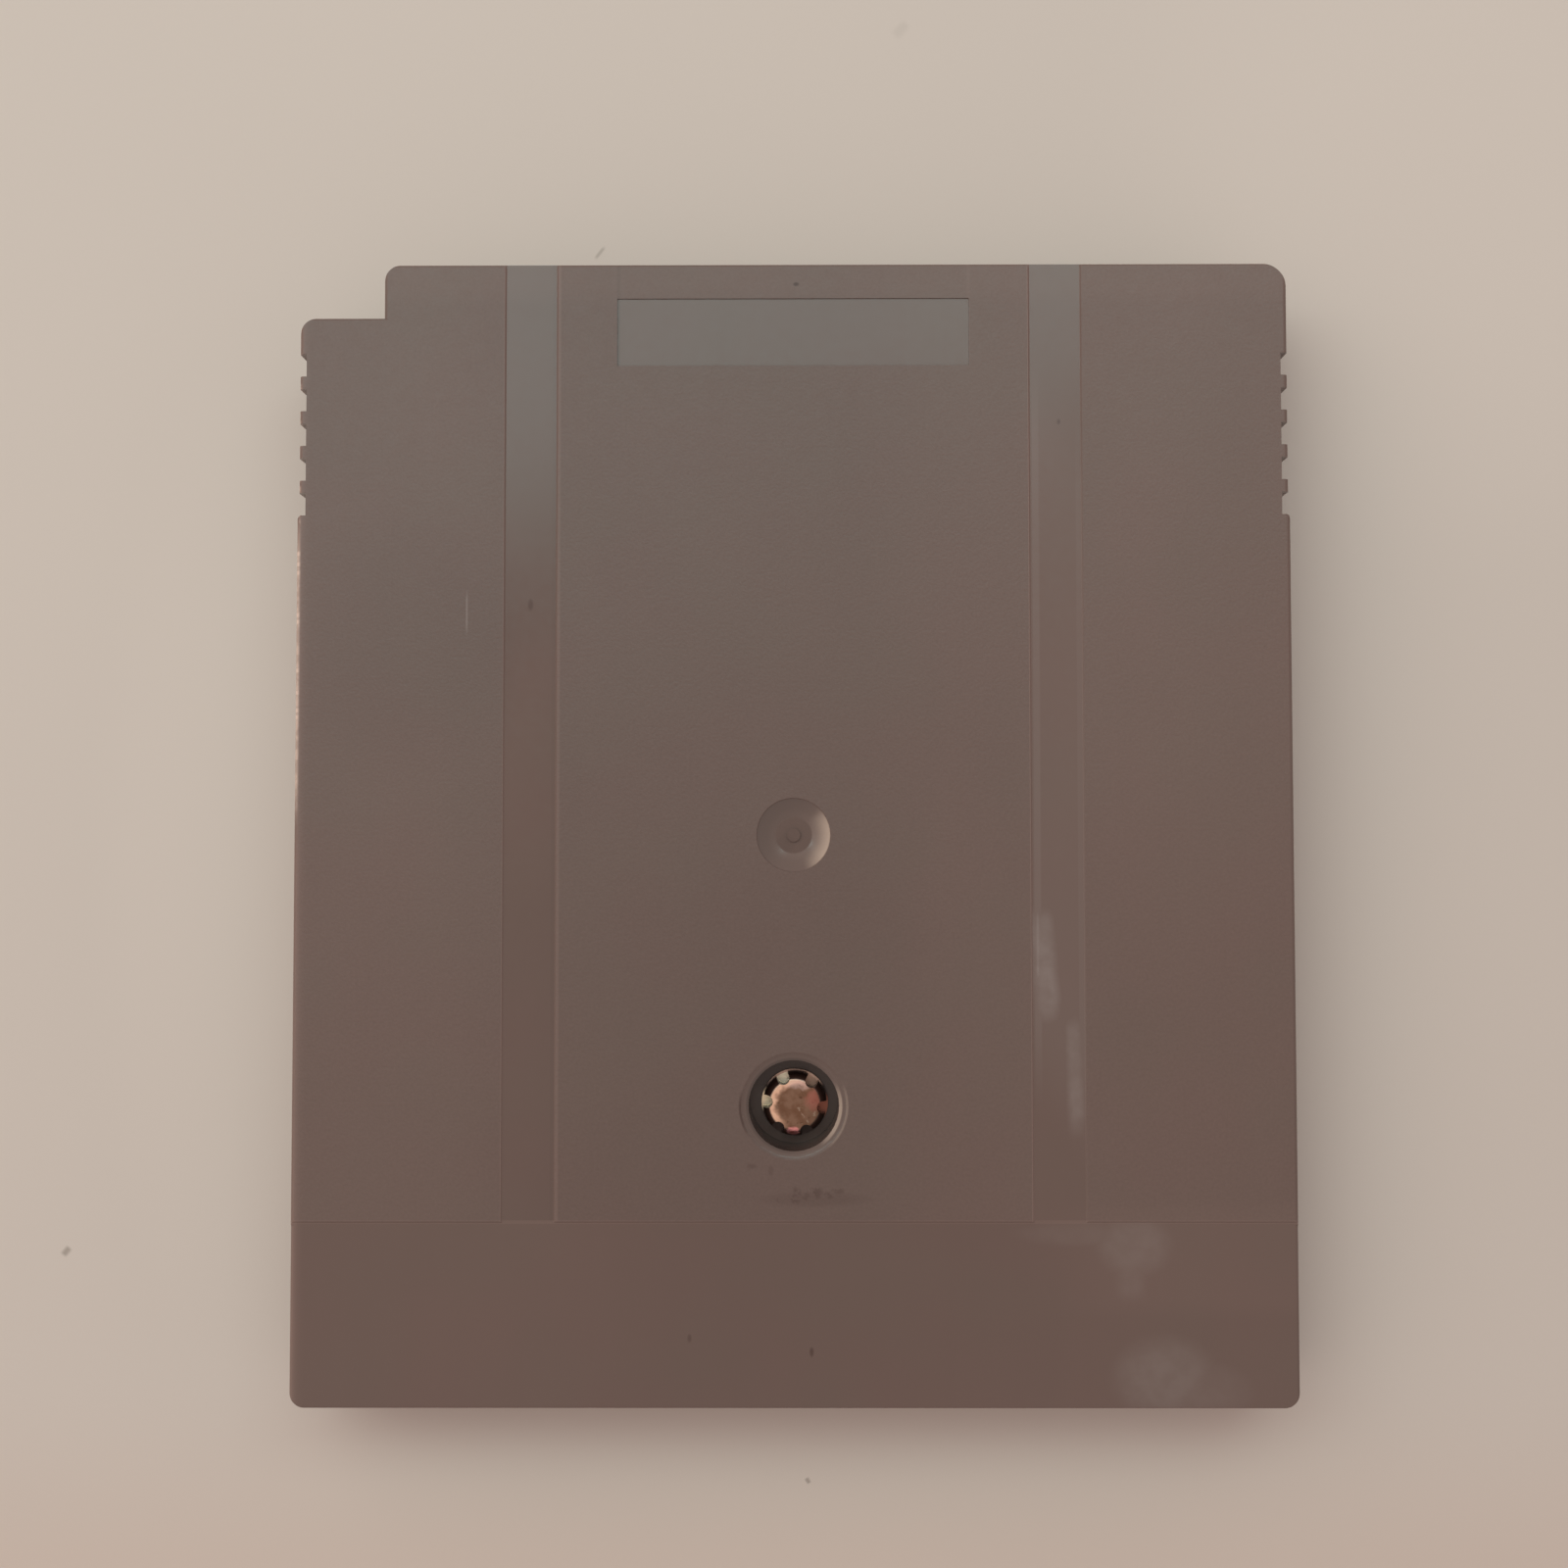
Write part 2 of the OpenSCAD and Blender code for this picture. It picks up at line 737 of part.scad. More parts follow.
// Where things sit on the board. The two columns start from the board's side edges and its far
// edge, and the row of small parts starts from the end of the mouth's guides.
column_gap = 3.1;
row_gap = 0.8;
far_gap = 2;
rom_x = -board_w / 2 + column_gap + rom_l / 2;
rom_y = board_end - far_gap - lead_reach - rom_w / 2;
save_ram_x = -board_w / 2 + column_gap + save_ram_l / 2;
save_ram_y = rom_y - rom_w / 2 - save_ram_w / 2 - 2 * lead_reach - row_gap;
cell_x = board_w / 2 - column_gap - cell_d / 2;
cell_y = board_end - row_gap / 2 - cell_d / 2;
cell_z = board_top + strap_t;
mapper_x = cell_x;
mapper_y = cell_y - cell_d / 2 - row_gap - lead_reach - mapper_w / 2;
switch_x = board_w / 2 - 11 - switch_l / 2;
switch_y = guide_h + row_gap + lead_reach + switch_w / 2;
part_row_y = guide_h + 2 + capacitor[1] / 2;
part_step = capacitor[0] + 1.4;
left_part_x = -board_w / 2 + column_gap + 2;
right_part_x = board_w / 2 - 5.2 - capacitor[0] / 2;
upper_part_x = rom_x + rom_l / 2 + row_gap + diode[0] / 2;

// Moulded body: both sections widen to the parting line at mid height; a dimple marks pin one
module package_body(x, y, length, width, height) {
    draft = 0.18;
    function section(size) =
        let (s = size / 2)
        [[draft - s, 0], [s - draft, 0], [s, height / 2],
         [s - draft, height], [draft - s, height], [-s, height / 2]];
    color(epoxy)
        translate([x, edge_y + y, board_top + standoff])
            difference() {
                intersection() {
                    translate([0, width / 2, 0])
                        rotate([90, 0, 0])
                            linear_extrude(width) polygon(section(length));
                    translate([-length / 2, 0, 0])
                        rotate([90, 0, 90])
                            linear_extrude(length) polygon(section(width));
                }
                translate([1.4 - length / 2, 1.3 - width / 2, height - 0.12])
                    cylinder(r = 0.5, h = cut);
            }
}

// Gull-wing leads: out of the parting line, down, and out again along the board
module package_leads(x, y, length, width, height) {
    out_z = standoff + height / 2;
    knee = lead_reach * 0.45;
    pins = floor((length - 1.1) / lead_pitch) + 1;
    lead = [[0, out_z - lead_t / 2],
            [knee - lead_t, out_z - lead_t / 2],
            [knee, 0],
            [lead_reach, 0],
            [lead_reach, lead_t],
            [knee + lead_t, lead_t],
            [knee, out_z + lead_t / 2],
            [0, out_z + lead_t / 2]];
    color(tinned)
        translate([x, edge_y + y, board_top])
            for (side = [-1, 1])
                for (i = [0:pins - 1])
                    translate([(i - (pins - 1) / 2) * lead_pitch - lead_w / 2, 0, 0])
                        mirror([0, side < 0 ? 1 : 0, 0])
                            translate([0, width / 2, 0])
                                rotate([90, 0, 90])
                                    linear_extrude(lead_w) polygon(lead);
}

module rom_chip() { package_body(rom_x, rom_y, rom_l, rom_w, package_h); }
module rom_chip_leads() { package_leads(rom_x, rom_y, rom_l, rom_w, package_h); }
module save_ram_chip() { package_body(save_ram_x, save_ram_y, save_ram_l, save_ram_w, package_h); }
module save_ram_chip_leads() { package_leads(save_ram_x, save_ram_y, save_ram_l, save_ram_w, package_h); }
module mapper_chip() { package_body(mapper_x, mapper_y, mapper_l, mapper_w, small_package_h); }
module mapper_chip_leads() { package_leads(mapper_x, mapper_y, mapper_l, mapper_w, small_package_h); }
module power_switch_chip() { package_body(switch_x, switch_y, switch_l, switch_w, small_package_h); }
module power_switch_chip_leads() { package_leads(switch_x, switch_y, switch_l, switch_w, small_package_h); }

// The coin cell lies on its lower tab with its cap up
module battery_cell() {
    step = cell_t * 0.15;
    color([0.75, 0.75, 0.76])
        translate([cell_x, edge_y + cell_y, cell_z])
            rotate_extrude()
                polygon([[0, 0], [cell_d / 2 - step, 0], [cell_d / 2, step], [cell_d / 2, cell_t - step],
                         [cell_d / 2 - step, cell_t - step], [cell_d / 2 - 4 * step, cell_t - step / 2],
                         [cell_d / 2 - 5 * step, cell_t], [0, cell_t]]);
}

// Welded to the underside of the cell, with a foot that runs out to its pad toward the middle
module battery_minus_tab() {
    out = cell_d / 2 + 0.6 + strap_foot;
    color(tinned)
        translate([cell_x - out, edge_y + cell_y - strap_w / 2, board_top])
            cube([out + cell_d / 4, strap_w, strap_t]);
}

// Welded to the top of the cell, over its edge and down to its pad beside the wall
module battery_plus_tab() {
    drop_x = cell_d / 2 + 0.6;
    top = strap_t + cell_t;
    color(tinned)
        translate([cell_x, edge_y + cell_y + strap_w / 2, board_top])
            rotate([90, 0, 0])
                linear_extrude(strap_w)
                    polygon([[drop_x + strap_foot, 0],
                             [drop_x, 0],
                             [drop_x, top],
                             [-cell_d / 5, top],
                             [-cell_d / 5, top + strap_t],
                             [drop_x + strap_t, top + strap_t],
                             [drop_x + strap_t, strap_t],
                             [drop_x + strap_foot, strap_t]]);
}

// Ceramic block between two wrapped end caps
module chip_part(x, y, size, body_colour) {
    cap = size[0] * 0.18;
    skin = 0.04;
    translate([x, edge_y + y, board_top]) {
        color(body_colour)
            translate([cap - size[0] / 2, skin - size[1] / 2, 0])
                cube([size[0] - 2 * cap, size[1] - 2 * skin, size[2] - skin]);
        color(tinned)
            for (side = [-1, 1])
                translate([side * (size[0] - cap) / 2 - cap / 2, -size[1] / 2, 0])
                    cube([cap, size[1], size[2]]);
    }
}

module rom_capacitor() { chip_part(left_part_x, part_row_y, capacitor, ceramic); }
module ram_capacitor() { chip_part(left_part_x + part_step, part_row_y, capacitor, ceramic); }
module mapper_capacitor() { chip_part(left_part_x + 2 * part_step, part_row_y, capacitor, ceramic); }
module supply_capacitor() { chip_part(right_part_x, part_row_y, capacitor, ceramic); }
module pull_up_resistor() { chip_part(left_part_x + 3 * part_step - 0.6, part_row_y, resistor, epoxy); }
module reset_resistor() { chip_part(right_part_x, part_row_y + 2.4, resistor, epoxy); }
module blocking_diode() { chip_part(upper_part_x, board_end - 2 - diode[1] / 2, diode, epoxy); }
module charge_resistor() { chip_part(upper_part_x, board_end - 5.4, resistor, epoxy); }

back_shell();
front_shell();
security_screw();
circuit_board();
edge_contacts();
rom_chip();
rom_chip_leads();
mapper_chip();
mapper_chip_leads();
save_ram_chip();
save_ram_chip_leads();
power_switch_chip();
power_switch_chip_leads();
battery_cell();
battery_plus_tab();
battery_minus_tab();
rom_capacitor();
ram_capacitor();
mapper_capacitor();
supply_capacitor();
pull_up_resistor();
charge_resistor();
reset_resistor();
blocking_diode();
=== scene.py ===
import math
from functools import reduce

import bmesh
import bpy
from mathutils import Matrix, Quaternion, Vector


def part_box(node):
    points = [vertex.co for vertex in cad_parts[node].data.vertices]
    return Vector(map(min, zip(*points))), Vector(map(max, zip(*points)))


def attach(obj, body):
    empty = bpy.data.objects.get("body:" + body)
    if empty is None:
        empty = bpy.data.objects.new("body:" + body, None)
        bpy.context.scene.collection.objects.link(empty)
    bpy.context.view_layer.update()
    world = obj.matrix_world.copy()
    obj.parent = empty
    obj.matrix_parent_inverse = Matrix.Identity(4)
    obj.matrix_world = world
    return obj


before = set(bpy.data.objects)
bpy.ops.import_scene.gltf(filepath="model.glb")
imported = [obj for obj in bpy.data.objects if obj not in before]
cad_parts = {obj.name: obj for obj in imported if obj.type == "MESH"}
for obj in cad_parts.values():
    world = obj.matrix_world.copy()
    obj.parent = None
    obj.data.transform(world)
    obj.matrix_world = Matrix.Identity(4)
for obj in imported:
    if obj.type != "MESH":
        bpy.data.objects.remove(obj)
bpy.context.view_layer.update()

bl_info = {
    "name": "Game Cartridge Looks",
    "version": (1, 0, 0),
    "blender": (4, 5, 0),
    "location": "View3D > Sidebar > Cartridge",
    "description": "Finishes, board detail and studio for the handheld game cartridge",
    "category": "Object",
}

MM = 0.001

# Places on the back, in millimetres in the frame
CHANNEL_X = 15.1          # middle of each channel
BAND_Y = -22.2            # upper end of the smooth band
FRAME_X = 10.15           # half the width of the sunk frame
FRAME_Y = 26.8            # foot of the sunk frame
GATE = (0.0, -0.3)        # middle of the dimple
HOLE = (0.0, -15.7)       # middle of the driver's hole
HOLE_R = 2.5              # a little less than the hole's radius

# Dark marks. Each has a middle, two radii and a strength.
SMUDGES = (
    ((0.1, -20.8), (0.42, 0.62), 0.5), ((0.7, -20.85), (0.42, 0.34), 0.42),
    ((1.28, -20.63), (0.46, 0.48), 0.48), ((2.0, -20.75), (0.4, 0.28), 0.42),
    ((2.5, -20.5), (0.45, 0.24), 0.36), ((-0.85, -21.0), (0.2, 0.2), 0.36))
SPECKS = (
    ((0.18, 31.53), (0.22, 0.16), 0.8), ((-15.1, 12.94), (0.2, 0.44), 0.42),
    ((1.0, -29.54), (0.16, 0.34), 0.6), ((-5.92, -28.77), (0.16, 0.3), 0.4),
    ((15.3, 23.5), (0.14, 0.22), 0.5), ((-2.4, -19.1), (0.35, 0.2), 0.3),
    ((-1.3, -19.35), (0.2, 0.4), 0.25))

# Pale film, mostly painted reflection of light on the smooth faces, with some rubbing. A streak
# has a start, an end, a width and a strength, a spot is as above, and an even part covers x
# from one value to another, with its soft edge and its strength.
FILM_AND_SHEEN_STREAKS = (
    ((14.0, -3.6), (14.6, -11.9), 1.15, 0.4), ((13.92, -4.0), (13.92, -9.4), 0.16, 0.55),
    ((15.85, -9.6), (16.15, -18.0), 0.75, 0.32), ((19.15, -23.2), (19.0, -27.0), 1.1, 0.12))
FILM_AND_SHEEN_SPOTS = (
    ((19.3, -23.6), (2.5, 2.0), 0.18), ((20.9, -31.0), (3.4, 2.8), 0.21),
    ((22.8, -31.8), (3.6, 2.0), 0.12), ((16.0, -22.9), (4.0, 0.8), 0.09))
FILM_AND_SHEEN_EVEN = ((13.7, 16.6, 0.1, 0.08), (13.78, 14.08, 0.14, 0.17), (16.28, 16.66, 0.12, 0.13))
SCRATCH = ((-18.76, 14.0), (-18.76, 11.0), 0.09, 0.3)
# Where the painted highlight on the left edge has its brightest glints
EDGE_GLINTS_Y = (15.9, 15.3, 14.8, 12.36, 11.97, 9.17, 7.88, 6.87, 6.48)

# The screw: its shank, and the thread's ends above the shank's lower end
SHANK_R = 1.0
THREAD_FROM, THREAD_TO = 0.7, 2.9

# The screw's head, about its axis: where a notch shows the flange, and in which colour, as painted
# light, brighter on the upper left, and the small nick marks, the last of them a painted highlight
# along an edge
LIT_NOTCH_FLOORS = (
    ((-0.66, 1.48), (255, 244, 222)), ((-1.61, 0.17), (255, 236, 206)),
    ((0.95, 1.31), (190, 160, 144)), ((1.61, -0.17), (172, 112, 96)))
NICKS_AND_GLINT = (
    ((0.12, -0.1), (0.2, -0.4)), ((0.3, -0.4), (0.55, -0.78)),
    ((0.7, -0.84), (0.84, -1.06)), ((1.06, -0.7), (1.24, -0.3)))

# Specks on the table, each a streak as above
TABLE_SPECKS = (
    ((-44.4, -25.7), (-43.9, -25.1), 0.3, 0.5), ((-12.3, 35.4), (-11.6, 36.3), 0.16, 0.35),
    ((0.7, -38.9), (0.95, -39.3), 0.2, 0.5), ((6.2, 49.3), (7.2, 50.4), 0.5, 0.1))

CHIPS = ("rom_chip", "save_ram_chip", "mapper_chip", "power_switch_chip")


def srgb(red, green, blue):
    """A colour written as it looks on screen, 0 to 255, turned into Blender's linear one."""
    def linear(value):
        v = value / 255
        return v / 12.92 if v <= 0.04045 else ((v + 0.055) / 1.055) ** 2.4
    return (linear(red), linear(green), linear(blue))


DULL_TIN = srgb(150, 148, 142)


def box_mm(node):
    """Lowest and highest corner of a CAD node, in millimetres."""
    low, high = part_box(node)
    return low / MM, high / MM


def screw_axis():
    """Where the screw's axis stands on the board's plane, in millimetres."""
    low, high = box_mm("security_screw")
    return (low.x + high.x) / 2, (low.y + high.y) / 2


class Value:
    """A shader socket. Python's operators on it add the Math nodes."""

    def __init__(self, finish, socket):
        self.finish = finish
        self.socket = socket

    def _math(self, operation, first, second):
        settings = {"operation": operation}
        return self.finish.node("ShaderNodeMath", settings, {0: first, 1: second})

    def __add__(self, other):
        return self._math("ADD", self, other)

    __radd__ = __add__

    def __sub__(self, other):
        return self._math("SUBTRACT", self, other)

    def __rsub__(self, other):
        return self._math("SUBTRACT", other, self)

    def __mul__(self, other):
        return self._math("MULTIPLY", self, other)

    __rmul__ = __mul__

    def __truediv__(self, other):
        return self._math("DIVIDE", self, other)

    def __pow__(self, other):
        return self._math("POWER", self, other)

    def __abs__(self):
        return self._math("ABSOLUTE", self, 0.0)

    def at_least(self, other):
        return self._math("MAXIMUM", self, other)

    def at_most(self, other):
        return self._math("MINIMUM", self, other)


class Finish:
    """A material's node tree. The method node adds any node, the others are built on it."""

    def __init__(self, name):
        self.material = bpy.data.materials.new(name)
        self.material.use_nodes = True
        self.tree = self.material.node_tree
        self.tree.nodes.clear()

    def node(self, kind, settings=None, inputs=None, output=0):
        made = self.tree.nodes.new(kind)
        for key, value in (settings or {}).items():
            setattr(made, key, value)
        for key, value in (inputs or {}).items():
            if isinstance(value, Value):
                self.tree.links.new(value.socket, made.inputs[key])
            else:
                made.inputs[key].default_value = value
        return Value(self, made.outputs[output]) if made.outputs else None

    def place(self, coordinates="Object"):
        """Three values, x, y and z: millimetres in the frame, or shares of the node's own box."""
        scale = 1 if coordinates == "Generated" else 1 / MM
        where = self.node("ShaderNodeTexCoord", output=coordinates)
        where = self.node("ShaderNodeVectorMath", {"operation": "SCALE"},
                          {0: where, "Scale": scale})
        self.where = where
        return [self.node("ShaderNodeSeparateXYZ", inputs={0: where}, output=i) for i in range(3)]

    def rise(self, value, low, high):
        """0 below low, 1 above high, and smooth between them; low may be the larger."""
        return self.node(
            "ShaderNodeMapRange", {"interpolation_type": "SMOOTHSTEP"},
            {"Value": value, "From Min": low, "From Max": high, "To Min": 0.0, "To Max": 1.0})

    def band(self, value, low, high, soft):
        """1 from low to high, falling off over soft on both sides."""
        return self.rise(value, low - soft, low) * self.rise(value, high + soft, high)

    def spot(self, x, y, middle, radii):
        """1 in the middle of an ellipse and 0 from its rim outward."""
        dx = (x - middle[0]) * (1 / radii[0])
        dy = (y - middle[1]) * (1 / radii[1])
        return self.rise(dx * dx + dy * dy, 1.0, 0.0)

    def streak(self, x, y, start, end, width):
        """1 along a line from start to end, fading over width at its sides and at its ends."""
        along = Vector((end[0] - start[0], end[1] - start[1]))
        length = along.length
        ux, uy = along / length
        run = (x - start[0]) * ux + (y - start[1]) * uy
        side = abs((y - start[1]) * ux - (x - start[0]) * uy)
        ends = self.rise(run, 0.0, length * 0.3) * self.rise(run, length, length * 0.7)
        return ends * self.rise(side, width, width * 0.15)

    def noise(self, size, detail=2.0, roughness=0.5, stretch=None):
        """Noise about 0 to 1, with lumps about as large as size in millimetres."""
        where = self.where
        if stretch:
            where = self.node("ShaderNodeVectorMath", {"operation": "MULTIPLY"},
                              {0: where, 1: stretch})
        return self.node(
            "ShaderNodeTexNoise", {"noise_dimensions": "3D"},
            {"Vector": where, "Scale": 1 / size, "Detail": detail, "Roughness": roughness})

    def cells(self, size):
        """Distance to the nearest of points strewn about size apart, in shares of size."""
        return self.node("ShaderNodeTexVoronoi", {"feature": "F1"},
                         {"Vector": self.where, "Scale": 1 / size}, output="Distance")

    @staticmethod
    def colour(value):
        return value if isinstance(value, Value) else (*value, 1)

    def blend(self, factor, first, second):
        """A colour between first and second."""
        return self.node(
            "ShaderNodeMix", {"data_type": "RGBA", "clamp_factor": True},
            {0: factor, 6: self.colour(first), 7: self.colour(second)}, output=2)

    def coats(self, first, coats):
        """A first colour under coats, each a factor and a colour, laid on in turn."""
        for factor, colour in coats:
            first = self.blend(factor, first, colour)
        return first

    def tint(self, colour, amount):
        """A colour made lighter or darker by a value about 1."""
        grey = self.node("ShaderNodeCombineXYZ", inputs={0: amount, 1: amount, 2: amount})
        return self.node("ShaderNodeMix", {"data_type": "RGBA", "blend_type": "MULTIPLY"},
                         {0: 1.0, 6: self.colour(colour), 7: grey}, output=2)

    def bump(self, height, depth_mm, normal=None):
        """A Normal from a height of 0 to 1, depth_mm deep."""
        inputs = {"Height": height, "Strength": 1.0, "Distance": depth_mm * MM}
        if normal is not None:
            inputs["Normal"] = normal
        return self.node("ShaderNodeBump", inputs=inputs)

    def surface(self, colour, roughness, metallic=0.0, normal=None, **constants):
        """The shader itself. Whatever is left in constants is the same all over."""
        inputs = {"Base Color": self.colour(colour), "Roughness": roughness,
                  "Metallic": metallic}
        if normal is not None:
            inputs["Normal"] = normal
        inputs.update({key.replace("_", " "): value for key, value in constants.items()})
        shader = self.node("ShaderNodeBsdfPrincipled", inputs=inputs)
        self.node("ShaderNodeOutputMaterial", inputs={"Surface": shader})
        return self.material


def strongest(masks):
    """The largest of several masks at each point."""
    return reduce(Value.at_least, masks)


def dress(names, material):
    """Gives CAD nodes a finish through their own material slots."""
    for name in names:
        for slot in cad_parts[name].material_slots:
            slot.material = material


def mesh_piece(name, builder, material):
    """An object whose mesh the builder fills, in millimetres, riding on the one body."""
    shape = bmesh.new()
    builder(shape)
    bmesh.ops.scale(shape, vec=(MM, MM, MM), verts=shape.verts)
    bmesh.ops.recalc_face_normals(shape, faces=shape.faces)
    mesh = bpy.data.meshes.new(name)
    shape.to_mesh(mesh)
    shape.free()
    mesh.materials.append(material)
    piece = bpy.data.objects.new(name, mesh)
    bpy.context.scene.collection.objects.link(piece)
    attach(piece, "root")


# Sizes and colours


class CartridgeHousing(bpy.types.PropertyGroup):
    plastic: bpy.props.FloatVectorProperty(
        name="Plastic", description="Colour of the moulded housing",
        subtype="COLOR", size=3, min=0, max=1, default=srgb(106, 84, 77))
    # Pale film, mostly painted reflection of light on the smooth faces, with some rubbing
    haze_and_sheen: bpy.props.FloatVectorProperty(
        name="Haze", description="Pale film on the smooth faces where hands have worn them",
        subtype="COLOR", size=3, min=0, max=1, default=srgb(154, 141, 136))
    dirt: bpy.props.FloatVectorProperty(
        name="Dirt", description="Colour of the dark marks",
        subtype="COLOR", size=3, min=0, max=1, default=srgb(60, 36, 30))
    matt: bpy.props.FloatProperty(
        name="Matt Roughness", description="Roughness of the grained faces",
        subtype="FACTOR", min=0, max=1, default=0.4)
    gloss: bpy.props.FloatProperty(
        name="Smooth Roughness", description="Roughness of channels, band and sunk frame",
        subtype="FACTOR", min=0, max=1, default=0.2)
    grain: bpy.props.FloatProperty(
        name="Grain Size", description="Width of one grain of the matt faces",
        unit="LENGTH", precision=5, min=0.00005, max=0.001, default=0.00017)
    grain_depth: bpy.props.FloatProperty(
        name="Grain Depth", description="Depth of the grain",
        unit="LENGTH", precision=6, min=0, max=0.0002, default=0.000016)
    # Strength of the dark marks, of the pale film with its painted reflection, and of the painted
    # highlight on the rubbed left edge
    wear_and_sheen: bpy.props.FloatProperty(
        name="Wear", description="Strength of the marks and the rubbed edges",
        subtype="FACTOR", min=0, max=1, default=1)


class CartridgeScrew(bpy.types.PropertyGroup):
    # Painted highlight: the star's upper left rim, lit from the upper left
    copper: bpy.props.FloatVectorProperty(
        name="Copper", description="Colour of the star's upper left rim, where it is bright",
        subtype="COLOR", size=3, min=0, max=1, default=srgb(255, 206, 180))
    worn: bpy.props.FloatVectorProperty(
        name="Worn Middle", description="Colour of the worn middle of the head",
        subtype="COLOR", size=3, min=0, max=1, default=srgb(150, 118, 100))
    stain: bpy.props.FloatVectorProperty(
        name="Stain", description="Colour of the darker blotches in the middle",
        subtype="COLOR", size=3, min=0, max=1, default=srgb(126, 92, 74))
    red: bpy.props.FloatVectorProperty(
        name="Red Tarnish", description="Colour of the reddest spots of the head",
        subtype="COLOR", size=3, min=0, max=1, default=srgb(196, 116, 108))
    # The sides of the head, painted dark as shade
    shaded_flank: bpy.props.FloatVectorProperty(
        name="Flank", description="Colour of the sides of the head",
        subtype="COLOR", size=3, min=0, max=1, default=srgb(62, 40, 34))
    roughness: bpy.props.FloatProperty(
        name="Roughness", description="Roughness of the head",
        subtype="FACTOR", min=0, max=1, default=0.34)
    pitch: bpy.props.FloatProperty(
        name="Thread Pitch", description="Rise of the thread in one turn",
        unit="LENGTH", precision=5, min=0.0003, max=0.0012, default=0.0007)
    crest: bpy.props.FloatProperty(
        name="Thread Height", description="How far the thread stands out of the shank",
        unit="LENGTH", precision=5, min=0.00005, max=0.00018, default=0.00016)


class CartridgeBoard(bpy.types.PropertyGroup):
    mask: bpy.props.FloatVectorProperty(
        name="Solder Mask", description="Colour of the lacquer over the board",
        subtype="COLOR", size=3, min=0, max=1, default=srgb(38, 92, 50))
    laminate: bpy.props.FloatVectorProperty(
        name="Laminate", description="Colour of the board's bare edge",
        subtype="COLOR", size=3, min=0, max=1, default=srgb(168, 156, 98))
    gold: bpy.props.FloatVectorProperty(
        name="Gold", description="Colour of the contact fingers",
        subtype="COLOR", size=3, min=0, max=1, default=srgb(222, 184, 104))
    epoxy: bpy.props.FloatVectorProperty(
        name="Epoxy", description="Colour of the chip bodies",
        subtype="COLOR", size=3, min=0, max=1, default=srgb(36, 36, 38))
    tin: bpy.props.FloatVectorProperty(
        name="Tin", description="Colour of leads, solder and tabs",
        subtype="COLOR", size=3, min=0, max=1, default=srgb(206, 206, 204))
    ceramic: bpy.props.FloatVectorProperty(
        name="Ceramic", description="Colour of the capacitors' blocks",
        subtype="COLOR", size=3, min=0, max=1, default=srgb(186, 148, 108))
    film: bpy.props.FloatVectorProperty(
        name="Resistor Film", description="Colour of the resistors' faces",
        subtype="COLOR", size=3, min=0, max=1, default=srgb(30, 30, 32))
    track_width: bpy.props.FloatProperty(
        name="Track Width", description="Width of a copper track",
        unit="LENGTH", precision=5, min=0.0001, max=0.0006, default=0.00032)
    copper_height: bpy.props.FloatProperty(
        name="Copper Height", description="How far tracks and lands stand up from the board",
        unit="LENGTH", precision=6, min=0.00001, max=0.00005, default=0.00003)


class CartridgeStage(bpy.types.PropertyGroup):
    floor: bpy.props.FloatVectorProperty(
        name="Floor", description="Colour of the table",
        subtype="COLOR", size=3, min=0, max=1, default=srgb(206, 192, 182))
    window: bpy.props.FloatVectorProperty(
        name="Window", description="Colour of the broad light beyond the top edge",
        subtype="COLOR", size=3, min=0, max=1, default=(0.658, 1.0, 0.984))
    window_power: bpy.props.FloatProperty(
        name="Window Power", description="Watts of the broad light beyond the top edge",
        min=0, max=100, default=0.366)
    sky: bpy.props.FloatVectorProperty(
        name="Sky", description="Colour of the soft light from the upper left",
        subtype="COLOR", size=3, min=0, max=1, default=(0.987, 1.0, 0.943))
    sky_power: bpy.props.FloatProperty(
        name="Sky Power", description="Watts of the soft light from the upper left",
        min=0, max=100, default=2.12)
    lamp: bpy.props.FloatVectorProperty(
        name="Side Lamp", description="Colour of the light from the left",
        subtype="COLOR", size=3, min=0, max=1, default=(1.0, 0.78, 0.64))
    lamp_power: bpy.props.FloatProperty(
        name="Side Lamp Power", description="Watts of the light from the left",
        min=0, max=100, default=0.5)
    room: bpy.props.FloatVectorProperty(
        name="Room", description="Colour of the light from all round",
        subtype="COLOR", size=3, min=0, max=1, default=(1.0, 0.834, 0.821))
    room_strength: bpy.props.FloatProperty(
        name="Room Strength", description="Strength of the light from all round",
        min=0, max=2, default=0.47)
    camera_place: bpy.props.FloatVectorProperty(
        name="Camera Place", description="Where the camera hangs over the table",
        subtype="TRANSLATION", unit="LENGTH", size=3, default=(-0.00002, -0.002034, 0.119812))
    camera_turn: bpy.props.FloatVectorProperty(
        name="Camera Turn", description="How the camera leans from straight down",
        subtype="EULER", unit="ROTATION", size=3,
        default=tuple(math.radians(a) for a in (2.376, 0.267, -0.055)))
    lens: bpy.props.FloatProperty(
        name="Lens", description="Focal length on a 36 mm sensor",
        unit="CAMERA", min=10, max=200, default=45)


# Finishes


